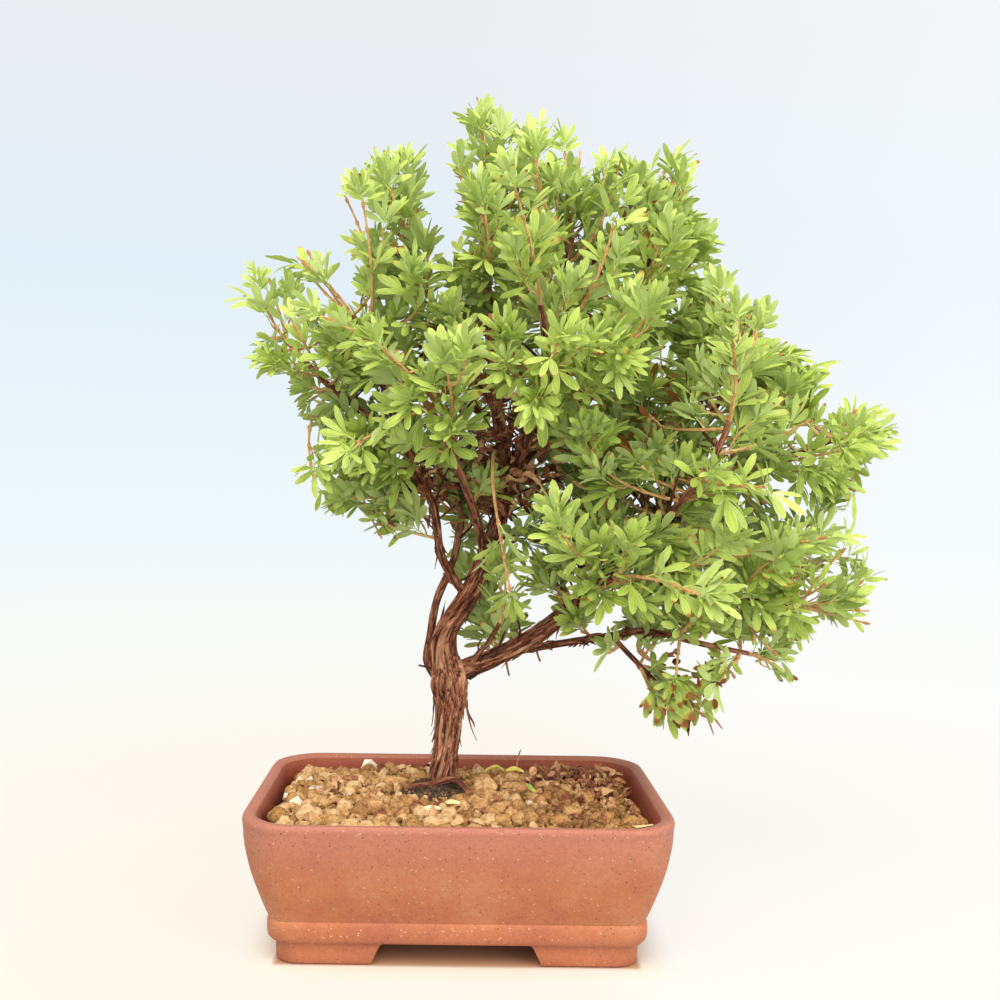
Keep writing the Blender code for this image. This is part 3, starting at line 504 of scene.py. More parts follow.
def tubeShape(route, sides, rough=0.0, twist=0.0, seed=0.0, flat=1.0):
    # a closed tube through (x, y, z, radius) in metres, its surface roughened along the grain
    points = [Vector(p[:3]) for p in route]
    verts, faces, uv, tones = [], [], [], []
    side = None
    run = 0.0
    for i, point in enumerate(points):
        axis = (points[min(i + 1, len(points) - 1)] - points[max(i - 1, 0)]).normalized()
        if side is None:
            side = axis.orthogonal().normalized()
        side = (side - axis * side.dot(axis)).normalized()
        other = axis.cross(side)
        last = run
        if i:
            run += (point - points[i - 1]).length
        radius = route[i][3]
        for k in range(sides):
            bare = 2 * pi * k / sides
            angle = bare + twist * run
            reach = radius
            ridge = 0.0
            if rough:  # plates with sharp creases between them, and finer fibres on top
                plate = noise.noise(Vector((cos(bare) * 2.3 + seed, sin(bare) * 2.3, run * 34)))
                fibre = noise.noise(Vector((cos(bare) * 8 + seed, sin(bare) * 8, run * 110)))
                ridge = 1.7 * abs(plate) ** 0.6 - 0.62 + 0.5 * fibre
                reach *= 1 + rough * ridge
            tones.append(0.5 + 0.55 * ridge)
            verts.append(point + side * cos(angle) * reach + other * sin(angle) * reach * flat)
        if i:
            base = (i - 1) * sides
            around = 2 * pi * radius
            for k in range(sides):
                j = (k + 1) % sides
                faces.append((base + k, base + j, base + sides + j, base + sides + k))
                uv += [(around * k / sides, last), (around * (k + 1) / sides, last),
                       (around * (k + 1) / sides, run), (around * k / sides, run)]
    faces.append(tuple(range(sides))[::-1])
    faces.append(tuple(range(len(verts) - sides, len(verts))))
    uv += [(0, 0)] * sides + [(0, run)] * sides
    return {"verts": np.array([v[:] for v in verts]), "faces": faces, "uv": np.array(uv),
            "tone": np.clip(np.array(tones), 0, 1)}


still = Matrix.Identity(4)


def randomTurn(rng):
    return (Matrix.Rotation(rng.uniform(0, 6.28), 4, "Z") @ Matrix.Rotation(rng.uniform(0, 6.28), 4, "X")
            @ Matrix.Rotation(rng.uniform(0, 6.28), 4, "Y"))


def smoothRoute(points, spacing):  # Catmull-Rom through points in mm, read every few mm
    out = []
    last = len(points) - 1
    for i in range(last):
        p0, p1, p2, p3 = [Vector(points[max(0, min(last, i + step))]) for step in (-1, 0, 1, 2)]
        steps = max(1, round((p2.xyz - p1.xyz).length / spacing))
        for k in range(steps):
            t = k / steps
            out.append(0.5 * ((2 * p1) + (p2 - p0) * t + (2 * p0 - 5 * p1 + 4 * p2 - p3) * t * t
                              + (3 * p1 - p0 - 3 * p2 + p3) * t ** 3))
    out.append(Vector(points[-1]))
    return out


def inMetres(route):
    return [(*at(p[0], p[1], p[2]), p[3] * mm) for p in route]


def tapered(points, thick, taper=0.0):  # each radius is less than the first by this share a point
    return [(*at(*p), thick * mm * (1 - taper * i)) for i, p in enumerate(points)]


def squareTo(axis, angle):  # a direction square to the axis, turned about it
    side = axis.orthogonal().normalized()
    side.rotate(Matrix.Rotation(angle, 3, axis))
    return side


# Wood: the same limbs as the solid trunk, in fine tubes with torn bark

treeSettings = {"lean": -0.7, "foot": 57.0}  # degrees to the left, about the foot of the trunk


def leaned(x, z):
    return x + tan(radians(treeSettings["lean"])) * (z - treeSettings["foot"])


# x, y, height and radius in mm, from the middle of the pot's foot
limbs = {
    "trunk": [(-8.5, 11, 38, 5), (-8, 11, 57, 5.3), (-5.3, 11, 71, 5.3), (-4.2, 11, 86, 5.7),
        (-3.6, 11, 100, 7.5), (-4.6, 11, 108, 6.6), (-4.8, 11, 113, 4.6)],
    "main": [(-4.2, 11, 98, 5.4), (-5.8, 11, 121, 4.9), (3, 9, 137, 4.5), (8, 9, 147, 4.1),
        (18, 10, 174, 3.4), (22, 12, 191, 3), (17, 14, 225, 2.4), (14, 15, 262, 2), (12, 15, 304, 1.4)],
    "left_thin": [(-6, 11, 99, 2.4), (-12.9, 12, 109, 2), (-13, 13, 117, 1.8), (-9.4, 16, 137, 1.7),
        (-1, 22, 159, 1.6), (2, 34, 190, 1.5), (-10, 50, 222, 1.2)],
    "left": [(5, 9, 138, 2), (-6.8, 6, 156, 1.9), (-10.5, 3, 178, 1.8), (-18, 0, 195, 1.7),
        (-26, 0, 208, 1.6), (-56, 0, 231, 1.4), (-76, 3, 252, 1.1)],
    "right": [(-3.4, 11, 102, 4.2), (3, 11, 107, 3.9), (16, 9, 112.5, 3.7), (31, 6, 121, 3.5),
        (53, 3, 139, 3.2), (80, 2, 165, 2.6), (107, 4, 182, 2.2), (140, 8, 200, 1.7), (166, 10, 211, 1.3)],
    "low_thin": [(20, 8, 114.5, 1.8), (38, 2, 119, 1.6), (62, -4, 124, 1.5), (80, -7, 127, 1.4),
        (104, -8, 122, 1.2), (124, -6, 118, 1)],
    "droop": [(66, -4.6, 124.5, 1.2), (74, -7, 116, 1.1), (84, -10, 106, 1), (92, -11, 101, 0.9)],
    "hook": [(5, 10.5, 108, 1.5), (9, 6, 115, 1.2), (13, 3, 120, 1.1), (18, -1, 129, 1)],
    "left_high": [(-25, 0, 207, 1.5), (-34, 4, 235, 1.3), (-46, 4, 262, 1.1)],
    "top_left": [(17, 14, 222, 2), (4, 13, 246, 1.6), (-12, 12, 272, 1.3), (-22, 12, 294, 1.1)],
    "top_mid": [(22, 12, 186, 2.4), (34, 10, 225, 2.1), (44, 8, 265, 1.7), (50, 8, 298, 1.2)],
    "top_right": [(22.4, 12.3, 193, 2.3), (48, 18, 222, 2.1), (72, 16, 262, 1.6), (86, 14, 292, 1.1)],
    "far_right": [(80, 2, 165, 2.2), (98, 6, 198, 1.8), (116, 10, 228, 1.3), (124, 12, 243, 1.1)],
    "low_right": [(60, 2.6, 146, 2), (92, -3, 147, 1.7), (122, -4, 142, 1.4), (148, 0, 138, 1.1)],
    "front_left": [(12, 9, 157, 2), (4, -12, 185, 1.7), (-8, -28, 212, 1.4), (-20, -38, 232, 1.1)],
    "front_mid": [(20, 11, 183, 2.2), (30, -15, 210, 1.8), (34, -38, 238, 1.4), (32, -48, 258, 1.1)],
    "front_right": [(66, 2, 151, 2), (82, -24, 172, 1.7), (98, -42, 196, 1.3), (105, -48, 214, 1.1)],
    "front_low": [(48, 3.5, 135, 1.8), (56, -20, 145, 1.4), (62, -38, 152, 1.1)],
    "back_mid": [(20.4, 12, 203, 1.9), (28, 40, 228, 1.6), (32, 58, 252, 1.2)],
    "back_right": [(76, 2, 161, 2), (88, 34, 185, 1.6), (98, 54, 208, 1.2)],
    "back_low": [(52, 3, 138, 1.7), (58, 30, 152, 1.4), (64, 46, 164, 1.1)]}
limbs = {name: [(leaned(x, z), y, z, r) for x, y, z, r in line] for name, line in limbs.items()}
surfaceRoot = [(-23, 2.6, 56.4, 0.9), (-18, 0.6, 58.0, 1.1), (-12.5, -0.4, 59.0, 1.3), (-6.5, 0.4, 60.4, 1.5),
               (-1.5, 0.0, 60.8, 1.5), (2.6, -2.6, 59.0, 1.4), (5.0, -6.0, 56.4, 1.2), (6, -9.4, 53.6, 0.9)]
woodSettings = {"rough": 0.29, "twist": 14.0, "strips": 400, "seed": 7,
                # of each torn strip, in mm: length, lift of its end, half width
                "length": (4, 15), "lift": 4.0, "width": (0.4, 1.1)}
# in mm: strips that hang down in front, twigs that died at the fork, and a knot in the trunk
hanging = [[(2, 6, 97.5), (3.4, 4.6, 93), (4.4, 4.6, 88), (6.0, 4.8, 82), (8.2, 5, 76.8)],
           [(3.4, 4.6, 93), (4.6, 4.2, 88.6), (6.8, 4.2, 84.6), (7.2, 4, 83.0)],
           [(-7.6, 6, 91), (-8.6, 5.2, 86), (-10.2, 5, 80), (-11.4, 5, 75.8)],
           [(-8.4, 6, 84), (-9.8, 5.4, 79), (-10.6, 5.2, 77)],
           [(21, 5.6, 112), (21.6, 4.8, 108.6), (22.4, 4.6, 105.4)],
           [(34, 3.6, 119), (34.6, 3.0, 115.4), (35.8, 3.0, 112)]]
deadTwigs = [[(5, 9, 103), (9.6, 7, 107), (9.8, 6, 113), (8.8, 6, 118), (10.6, 5.6, 121.6)],
             [(12, 8, 109), (16.4, 4, 115), (20.4, 2, 125)], [(2, 8, 104), (6.4, 6, 106.4), (13, 5, 108)],
             [(-9.6, 12, 106), (-13.4, 9, 108), (-17.4, 8, 109)], [(24, 8, 117), (27, 4, 124), (26, 2, 130)]]
knot = [(-2.6, 7.4, 86.8, 1.7), (-1.7, 6.0, 87.2, 1.5), (-1.3, 5.4, 87.4, 1.0), (-1.2, 5.3, 87.5, 0.4)]


def limbSpot(route, fraction):
    place = fraction * (len(route) - 1)
    low = min(int(place), len(route) - 2)
    spot = route[low].lerp(route[low + 1], place - low)
    return spot, (route[low + 1].xyz - route[low].xyz).normalized()


def limbPoints(spacing, low, high, without):  # where shoots and twigs may start
    return [p for name, line in limbs.items() if name not in without
            for p in smoothRoute(line, spacing) if low < p[2] < high]


def makeWood():
    pile = newPile()
    for number, points in enumerate(limbs.values()):
        thick = max(p[3] for p in points)
        route = smoothRoute(points, 1.5 if thick > 4 else 2.6)
        sides = 44 if thick > 4 else 14
        rough = woodSettings["rough"] if thick > 2.2 else 0.12
        lay(pile, tubeShape(inMetres(route), sides, rough, woodSettings["twist"], number * 3.7), still)
    lay(pile, tubeShape(inMetres(smoothRoute(surfaceRoot, 1.2)), 14, 0.1, 20.0, 91.0), still)
    settle(pile, "peelingWood", [barkSkin], "along", 60, ["trunk"])


def makeStrips():
    rng = random.Random(woodSettings["seed"])
    pile = newPile()
    for k in range(woodSettings["strips"]):  # bark torn loose, hanging mostly downwards
        name = rng.choice(["trunk", "trunk", "main", "main", "right", "right", "left", "low_thin"])
        route = smoothRoute(limbs[name], 3)
        low = 0.34 if name == "trunk" else 0.06
        spot, axis = limbSpot(route, rng.uniform(low, 0.97 if name == "trunk" else 0.62))
        side = squareTo(axis, rng.uniform(0, 2 * pi))
        down = -axis if rng.random() < 0.75 else axis
        length = rng.uniform(*woodSettings["length"]) * min(1.0, spot[3] / 4)
        lift = rng.uniform(0.1, 1.0) ** 2.4 * woodSettings["lift"]
        start = spot.xyz + side * spot[3] * 0.93
        bits = []
        for i in range(7):
            t = i / 6
            point = start + down * length * t + side * lift * t * t * 0.6
            point.z -= lift * 0.5 * t * t
            point += Vector([rng.uniform(-0.15, 0.15) for _ in range(3)])
            bits.append((*at(*point), mm * rng.uniform(*woodSettings["width"]) * (1 - 0.8 * t * t)))
        lay(pile, tubeShape(bits, 5, 0.2, 0, k * 1.3, 0.35), still)
    for lines, radius, taper, sides, rough, flat, tint in (
            (hanging, 0.75, 0.12, 6, 0.25, 0.4, None), (deadTwigs, 0.62, 0.08, 5, 0.2, 1.0, (0.3, 0.6, 0))):
        for line in lines:
            route = [Vector((leaned(x, z), y, z, radius - taper * i)) for i, (x, y, z) in enumerate(line)]
            bits = inMetres(smoothRoute(route, 1.6))
            lay(pile, tubeShape(bits, sides, rough, 0, line[0][0], flat), still, tint)
    lay(pile, tubeShape(inMetres([Vector(p) for p in knot]), 12, 0.35, 0, 5), still, (0.3, 0.2, 0.1))
    settle(pile, "looseBark", [barkSkin], "along", 70)


makeWood()
makeStrips()
print("wood made")


# Leaflet: a three-sided sphere drawn out into a blunt blade, ridged or keeled along its rib

leafletSettings = {"length": 16.0, "halfWidth": 2.2, "ridge": 0.55, "droop": 1.5, "kinds": 14, "seed": 3,
                   "stalk": (3.6, 6.0), "fan": (0.72, 1.08), "size": (0.88, 1.06),
                   # angle, size and place along the stalk of three leaflets, and of two more
                   "three": [(0, 1.0, 2.2), (38, 0.94, 1.2), (-38, 0.94, 1.2)],
                   "two": [(72, 0.8, -0.6), (-72, 0.8, -0.6)],
                   "stations": ((0.20, 0.46), (0.45, 0.90), (0.69, 1.0), (0.91, 0.64))}  # place, width


def makeLeaflet(curl, ridge, width):
    stations = ((0.0, 0.0), *leafletSettings["stations"], (1.0, 0.0))
    leaflet = addPiece(bpy.ops.mesh.primitive_uv_sphere_add, "leaflet", segments=3, radius=1,
                       ring_count=len(stations) - 1)
    mesh = leaflet.data
    along = {}
    for vert in mesh.vertices:
        ring = round((1 - acos(max(-1, min(1, vert.co.z))) / pi) * (len(stations) - 1))
        t, wide = stations[ring]
        side = 0 if abs(vert.co.x) < 0.01 else copysign(1, vert.co.x)
        z = 0 if side else leafletSettings["ridge"] * ridge * wide
        z += -leafletSettings["droop"] * curl * t * t + 0.6 * sin(pi * t)
        along[vert.index] = (0.5 + 0.5 * side, t, side == 0 and wide > 0)
        vert.co = (leafletSettings["length"] * t * mm,
                   leafletSettings["halfWidth"] * width * wide * side * mm, z * mm)
    layer = mesh.uv_layers.new(name="leaf")
    for poly in mesh.polygons:
        under = any(along[i][2] for i in poly.vertices) != (ridge > 0)
        for loop in poly.loop_indices:
            u, v = along[mesh.loops[loop].vertex_index][:2]
            layer.data[loop].uv = (u, min(v, 0.999) + (2 if under else 0))
    bpy.ops.object.mode_set(mode="EDIT")
    faceOutwards()
    return readShape(leaflet, "leaf")


leaflets = [makeLeaflet(curl, ridge, width) for curl, ridge, width in (
    (0.6, 1.0, 1.0), (1.3, -1.6, 0.84), (0.2, -0.9, 1.05), (1.9, 1.0, 0.88), (-0.6, -1.4, 0.9),
    (1.0, 1.2, 1.0))]


def makeLeafKinds():
    rng = random.Random(leafletSettings["seed"])
    kinds = []
    for number in range(leafletSettings["kinds"]):  # each kind is one whole leaf: petiole and its leaflets
        pile = newPile()
        hand = leafletSettings["three"] + (leafletSettings["two"] if number % 4 != 3 else [])
        stalk = rng.uniform(*leafletSettings["stalk"])
        spread = rng.uniform(*leafletSettings["fan"])
        petiole = tubeShape([(0, 0, 0, 0.34 * mm), ((stalk + 1.6) * mm, 0, 0.3 * mm, 0.24 * mm)], 3)
        petiole["uv"] = np.full((len(petiole["uv"]), 2), 0.5)
        lay(pile, petiole, still)
        for angle, size, push in hand:
            turn = Matrix.Rotation(radians(angle * spread + rng.uniform(-8, 8)), 4, "Z")
            pitch = Matrix.Rotation(radians(rng.uniform(-22, 10)), 4, "Y")
            roll = Matrix.Rotation(radians(rng.uniform(-32, 32)), 4, "X")
            grow = Matrix.Scale(size * rng.uniform(*leafletSettings["size"]), 4)
            place = Matrix.Translation(((stalk + push) * mm, 0, 0.3 * mm))
            lay(pile, rng.choice(leaflets), place @ turn @ pitch @ roll @ grow)
        kinds.append({"verts": np.concatenate(pile["verts"]), "faces": pile["faces"],
                      "uv": np.concatenate(pile["uv"])})
    return kinds


leafKinds = makeLeafKinds()


def leafMatrix(base, along, up, size):  # +X runs along the leaf, +Z to its upper face
    x = along.normalized()
    y = up.cross(x)
    if y.length < 0.05:
        y = Vector((0, 1, 0)).cross(x)
    y.normalize()
    z = x.cross(y)
    turn = Matrix((x, y, z)).transposed().to_4x4()
    return Matrix.Translation(at(*base)) @ turn @ Matrix.Scale(size, 4)


# Shoots: each stands for one solid spray, on the same stem, with its leaves at life size

# the tips of the shoots that each limb carries, the first at its end
shoots = {
    "main": [(11, 15, 342), (-2, 22, 318), (33, 2, 328)],
    "left": [(-84, 0, 266), (-78, 8, 226), (-62, -4, 190), (-36, 4, 170)],
    "left_high": [(-66, 5, 284), (-48, 14, 312), (-38, -28, 298)],
    "top_left": [(-24, 14, 322), (-46, 34, 286)],
    "top_mid": [(54, 12, 332), (68, -6, 322), (32, 48, 312)],
    "top_right": [(96, 12, 324), (78, 34, 312), (104, 4, 290)],
    "far_right": [(132, 14, 258), (152, 20, 230), (108, 28, 264)],
    "right": [(181, 10, 216), (172, -4, 188)],
    "low_right": [(174, 4, 136), (176, 18, 158), (140, -14, 114), (138, 40, 156)],
    "low_thin": [(146, -2, 106), (112, -22, 98)],
    "droop": [(104, -14, 92)],
    "hook": [(20, -8, 148)],
    "front_left": [(-48, -52, 250), (-36, -58, 204), (-4, -66, 228)],
    "front_mid": [(22, -70, 292), (58, -62, 286), (34, -88, 236), (66, -70, 246)],
    "front_right": [(98, -70, 252), (136, -58, 216), (112, -80, 188)],
    "front_low": [(84, -70, 150), (40, -62, 168), (138, -44, 168)],
    "left_thin": [(-36, 74, 246), (-34, 62, 198)],
    "back_mid": [(14, 82, 288), (52, 84, 294), (16, 94, 226)],
    "back_right": [(104, 82, 256), (138, 66, 214), (104, 88, 186)],
    "back_low": [(46, 80, 176), (44, 36, 200)],
}
shootSettings = {"fit": 0.35, "stem": 0.95, "tip": 6.0, "nodeEvery": 6.4, "twigEvery": 2, "seed": 23,
                 "leafSize": (0.80, 1.06), "spread": (28, 58), "leafy": 76, "twigLeaf": 5.4, "scorched": 0.13,
                 "edgeLeafy": 54, "middle": (45, 5, 228), "reach": (148, 104, 126),
                 # below this height, over this many mm: fewer, larger, drier and browner leaves
                 "low": (124, 16), "fewer": 0.3, "larger": 0.22, "drier": 3, "browner": 0.2,
                 "goldenAngle": 137.5, "taper": 0.45, "neck": (3.5, 9), "longestTwig": 27, "hangBelow": 122,
                 "innerTwigs": 230, "shade": 0.6, "twigSeed": 31,
                 "drySeed": 41, "hangSeed": 9,
                 "fillFrom": (112, 400), "twigFrom": (128, 262),  # heights on the limbs, in mm
                 "skyAt": (21, 11)}  # mm from a leaf's foot at which it has to keep out of the sky
# the crown's lobes: middle, reach each way, and how many more shoots fill it
lobes = {
    "left": ((-62, 2, 250), (26, 40, 24), 9),
    "upper_left": ((-34, 14, 286), (20, 36, 26), 7),
    "crest": ((-38, 10, 318), (12, 24, 10), 3),
    "top": ((24, 8, 302), (36, 48, 32), 13),
    "top_right": ((80, 10, 284), (28, 50, 34), 11),
    "shoulder": ((114, 6, 250), (30, 46, 24), 12),
    "left_low": ((-38, -2, 202), (30, 38, 22), 12),
    "left_mid": ((-34, 0, 242), (18, 34, 16), 7),
    "crook": ((-8, 10, 262), (18, 44, 24), 8),
    "heart": ((30, -6, 236), (52, 74, 34), 20),
    "core": ((66, 0, 208), (30, 62, 24), 12),
    "thatch": ((8, 22, 188), (28, 34, 12), 8),
    "right": ((136, 4, 208), (38, 52, 26), 14),
    "low_right": ((132, 0, 156), (40, 48, 24), 14),
    "skirt": ((66, -12, 164), (46, 62, 24), 16),
    "hem": ((86, -8, 136), (44, 40, 12), 10),
    "tail": ((94, -12, 108), (12, 16, 10), 1),
}
# the ends of the outermost shoots, seen against the sky
edgeTips = [
    (-95, 0, 269), (-86, 8, 279), (-71, 4, 286), (-87, -8, 243), (-66, 6, 225), (-58, 8, 199),
    (-44, 6, 180), (-46, 8, 322), (-28, 16, 327), (-20, 8, 306), (-46, 4, 292), (-5, 4, 334), (8, 8, 347),
    (32, 6, 342), (44, 10, 337), (63, 12, 330), (72, 2, 320), (88, 8, 329), (95, 14, 313), (104, 10, 298),
    (103, 2, 285), (109, 6, 272), (126, 6, 265), (149, 8, 241), (147, 0, 219), (163, 12, 213),
    (182, 8, 219), (178, 6, 207), (171, 2, 192), (159, 8, 180), (153, -4, 168), (169, 6, 163),
    (178, 10, 151), (173, 0, 137), (146, -6, 127), (138, 2, 114), (117, -10, 114), (102, -8, 95),
    (85, -8, 100), (66, -6, 119), (14, 22, 136), (24, 22, 130), (4, 26, 146), (22, 24, 148), (0, 30, 162),
    (7, 20, 128), (12, 18, 122), (36, -8, 151), (42, 6, 146), (64, -6, 118), (80, -8, 112), (84, -4, 122),
    (120, -6, 124), (131, -4, 116), (146, -2, 130), (156, 8, 236), (150, 2, 230), (176, 4, 149),
    (16, 8, 338), (98, 6, 328), (-52, 0, 224), (-68, -4, 230), (-40, 4, 172), (-63, 6, 289), (52, -2, 127),
    (0, 26, 172), (94, -30, 205), (100, -34, 186), (88, -26, 196), (80, -14, 103), (50, -14, 131),
    (54, -12, 124), (176, -4, 131), (-69, 6, 291), (-38, 2, 166), (80, 8, 327),
    (80, -24, 186), (92, -22, 180), (104, -26, 190), (86, -34, 194), (98, -18, 174)]
# the crown's outline as the camera sees it, in mm on the plane through the pot's middle
crownOutline = [
    (-14, 160), (-24, 164), (-40, 160), (-43, 166), (-36, 174), (-52, 175), (-74, 180), (-66, 190),
    (-67, 201), (-59, 203), (-50, 207), (-62, 211), (-72, 217), (-76, 229), (-76, 236), (-93, 233),
    (-97, 242), (-88, 254), (-74, 258), (-90, 263), (-107, 270), (-106, 277), (-97, 281), (-84, 290),
    (-80, 278), (-76, 279), (-81, 289), (-64, 297), (-60, 280), (-56, 279), (-55, 271), (-48, 267),
    (-42, 275), (-43, 284), (-54, 293), (-52, 300), (-42, 298), (-34, 304), (-38, 310), (-50, 310),
    (-55, 314), (-52, 330), (-39, 334), (-17, 338), (-17, 318), (-22, 311), (-12, 313), (-14, 298),
    (-16, 292), (-7, 292), (-10, 281), (-4, 290), (-5, 311), (-1, 315), (-13, 325), (-9, 335), (-2, 337),
    (-8, 346), (0, 352), (7, 360), (14, 357), (21, 348), (19, 340), (26, 351), (35, 351), (51, 346),
    (44, 334), (54, 334), (54, 317), (57, 339), (61, 334), (68, 337), (75, 332), (79, 330), (84, 338),
    (99, 338), (100, 330), (93, 322), (104, 320), (101, 311), (110, 306), (113, 289), (109, 281),
    (118, 277), (120, 272), (137, 274), (127, 259), (128, 256), (145, 250), (162, 246), (158, 238),
    (153, 228), (150, 222), (157, 218), (139, 212), (146, 203), (153, 214), (163, 221), (171, 230),
    (176, 224), (191, 226), (189, 206), (176, 203), (181, 192), (170, 176), (153, 176), (161, 173),
    (158, 166), (164, 173), (179, 165), (168, 158), (180, 159), (187, 152), (184, 145), (168, 145),
    (180, 142), (184, 128), (170, 129), (157, 136), (153, 121), (140, 114), (148, 104), (134, 105),
    (127, 112), (121, 105), (111, 104), (117, 99), (110, 97), (111, 89), (101, 82), (91, 83), (79, 89),
    (67, 88), (77, 104), (72, 112), (55, 114), (56, 124), (44, 129), (34, 124), (24, 112), (4, 112),
    (-5, 120), (-4, 150)]
# small holes that let the sky through: middle and half size
skyGaps = [
    (93, 272, 5, 5), (67, 307, 4, 6), (113, 239, 5, 3), (84, 187, 4, 4), (139, 190, 6, 4), (165, 151, 6, 3),
    (18, 144, 6, 5), (32, 137, 7, 4), (-26, 203, 6, 4), (-6, 173, 4, 8), (-19, 168, 4, 7), (-78, 266, 4, 3),
    (-65, 271, 5, 4), (29, 322, 3, 3), (152, 160, 5, 3), (-20, 300, 3, 4), (-65, 265, 3, 3), (88, 113, 5, 3)]


def inSky(point):
    place = cameraSettings["place"]
    scale = place[1] / (place[1] - point[1])
    x = place[0] + (point[0] - place[0]) * scale
    z = place[2] + (point[2] - place[2]) * scale
    inside = False
    for (ax, az), (bx, bz) in zip(crownOutline, crownOutline[1:] + crownOutline[:1]):
        if (az > z) != (bz > z) and x < ax + (z - az) * (bx - ax) / (bz - az):
            inside = not inside
    return not inside or any(((x - gx) / halfX) ** 2 + ((z - gz) / halfZ) ** 2 < 1
                             for gx, gz, halfX, halfZ in skyGaps)


def quadratic(start, bend, goal, steps):
    return [start * (1 - t) ** 2 + bend * 2 * t * (1 - t) + goal * t * t for t in
            [k / steps for k in range(steps + 1)]]


def stemRoute(route, fraction, end, atEnd):  # the solid spray's stem, and a little past its end
    spot, axis = limbSpot(route, fraction)
    goal = Vector((leaned(end[0], end[2]), end[1], end[2]))
    toGoal = goal - spot.xyz
    if atEnd:
        leave = (axis * 0.8 + toGoal.normalized() * 0.5).normalized()
        start = spot.xyz + axis * (shootSettings["fit"] + shootSettings["stem"] * 0.5)
    else:
        side = (toGoal - axis * toGoal.dot(axis)).normalized()
        leave = (side + axis * 0.55).normalized()
        gap = spot[3] + shootSettings["fit"] + shootSettings["stem"] * leave.dot(axis)
        start = spot.xyz + leave * (gap / leave.dot(side))
    bend = start + leave * (goal - start).length * 0.42
    points = quadratic(start - leave * 1.6, bend, goal, 14)  # rooted in the limb's bark
    points.append(goal + (goal - bend).normalized() * shootSettings["tip"])
    return points


def openness(point):  # 0 deep in the crown, 1 at its skin
    middle = shootSettings["middle"]
    reach = shootSettings["reach"]
    return min(1.0, sqrt(sum(((point[i] - middle[i]) / reach[i]) ** 2 for i in range(3))))


def growLeaf(pile, rng, base, axis, azimuth, spread, size, tone):
    side = squareTo(axis, radians(azimuth))
    lean = radians(spread)
    along = axis * cos(lean) + side * sin(lean)
    low = clamp((shootSettings["low"][0] - base[2]) / shootSettings["low"][1])
    if low and rng.random() < shootSettings["fewer"] * low:
        return
    size *= 1 + shootSettings["larger"] * low
    if any(inSky(base + along * run * size) for run in shootSettings["skyAt"]):
        return
    up = axis + Vector((0, -0.2, 0.6)) - side * 0.2
    light = openness(base)
    brown = 0.0
    dry = 0.3 + 2.6 * (1 - light) + (1.5 if base[2] < 165 else 0) + shootSettings["drier"] * low
    if rng.random() < shootSettings["scorched"] * dry:
        brown = rng.uniform(0.06, 0.3) if light > 0.6 or rng.random() < 0.8 else rng.uniform(0.4, 1.2)
        brown += shootSettings["browner"] * low
    # painted light: the tone is raised at the crown's skin and higher up, and left low as painted shade deep
    # inside
    bright = tone + 0.42 * light * light + 0.0009 * (base[2] - 200) + rng.uniform(-0.15, 0.15)
    lay(pile, rng.choice(leafKinds), leafMatrix(base, along, up, size),
        (clamp(bright), brown, rng.random()))


def growStem(pile, rng, points, thick, tone, tuft, every, bare=0.0):
    # leaves on golden-angle nodes, a rusty sheath at each, and young upright leaves at the tip
    count = len(points)
    neckLow, neckHigh = shootSettings["neck"]
    route = tapered(points, thick, shootSettings["taper"] / (count - 1))
    lay(pile, tubeShape(route, 5 if thick > 0.6 else 3, 0.08, 0, rng.uniform(0, 50)), still, slot=1)
    length = sum((points[i + 1] - points[i]).length for i in range(count - 1))
    nodes = max(2, int(length * (1 - bare) / every))
    azimuth = rng.uniform(0, 360)
    spots = []
    for k in range(nodes):
        t = bare + (1 - bare) * (k + 0.7) / nodes
        place = t * (count - 1)
        low = min(int(place), count - 2)
        base = points[low].lerp(points[low + 1], place - low)
        axis = (points[low + 1] - points[low]).normalized()
        azimuth += shootSettings["goldenAngle"] + rng.uniform(-14, 14)
        size = rng.uniform(*shootSettings["leafSize"]) * (1 - 0.16 * t)
        rest = length * (1 - t)
        if thick < 0.6 or not neckLow < rest < neckHigh:  # a bare neck below the tip's rosette
            growLeaf(pile, rng, base, axis, azimuth, rng.uniform(*shootSettings["spread"]), size,
                     tone + 0.12 * t)
        if k % 2 == 0 or thick > 0.6:
            sheath = [(*at(*(base - axis * 1.2)), 0.7 * thick * mm), (*at(*(base + axis)), 1.3 * thick * mm),
                      (*at(*(base + axis * 2.2)), 0.6 * thick * mm)]
            lay(pile, tubeShape(sheath, 3, 0.2, 0, azimuth), still, slot=2)
        spots.append((base, axis, azimuth, t))
    tip = points[-1]
    axis = (points[-1] - points[-2]).normalized()
    for k in range(tuft):
        azimuth += shootSettings["goldenAngle"]
        growLeaf(pile, rng, tip - axis * 0.7 * k, axis, azimuth, 10 + 8 * k + rng.uniform(-5, 5),
                 rng.uniform(0.55, 0.8), tone + 0.18)
    return spots


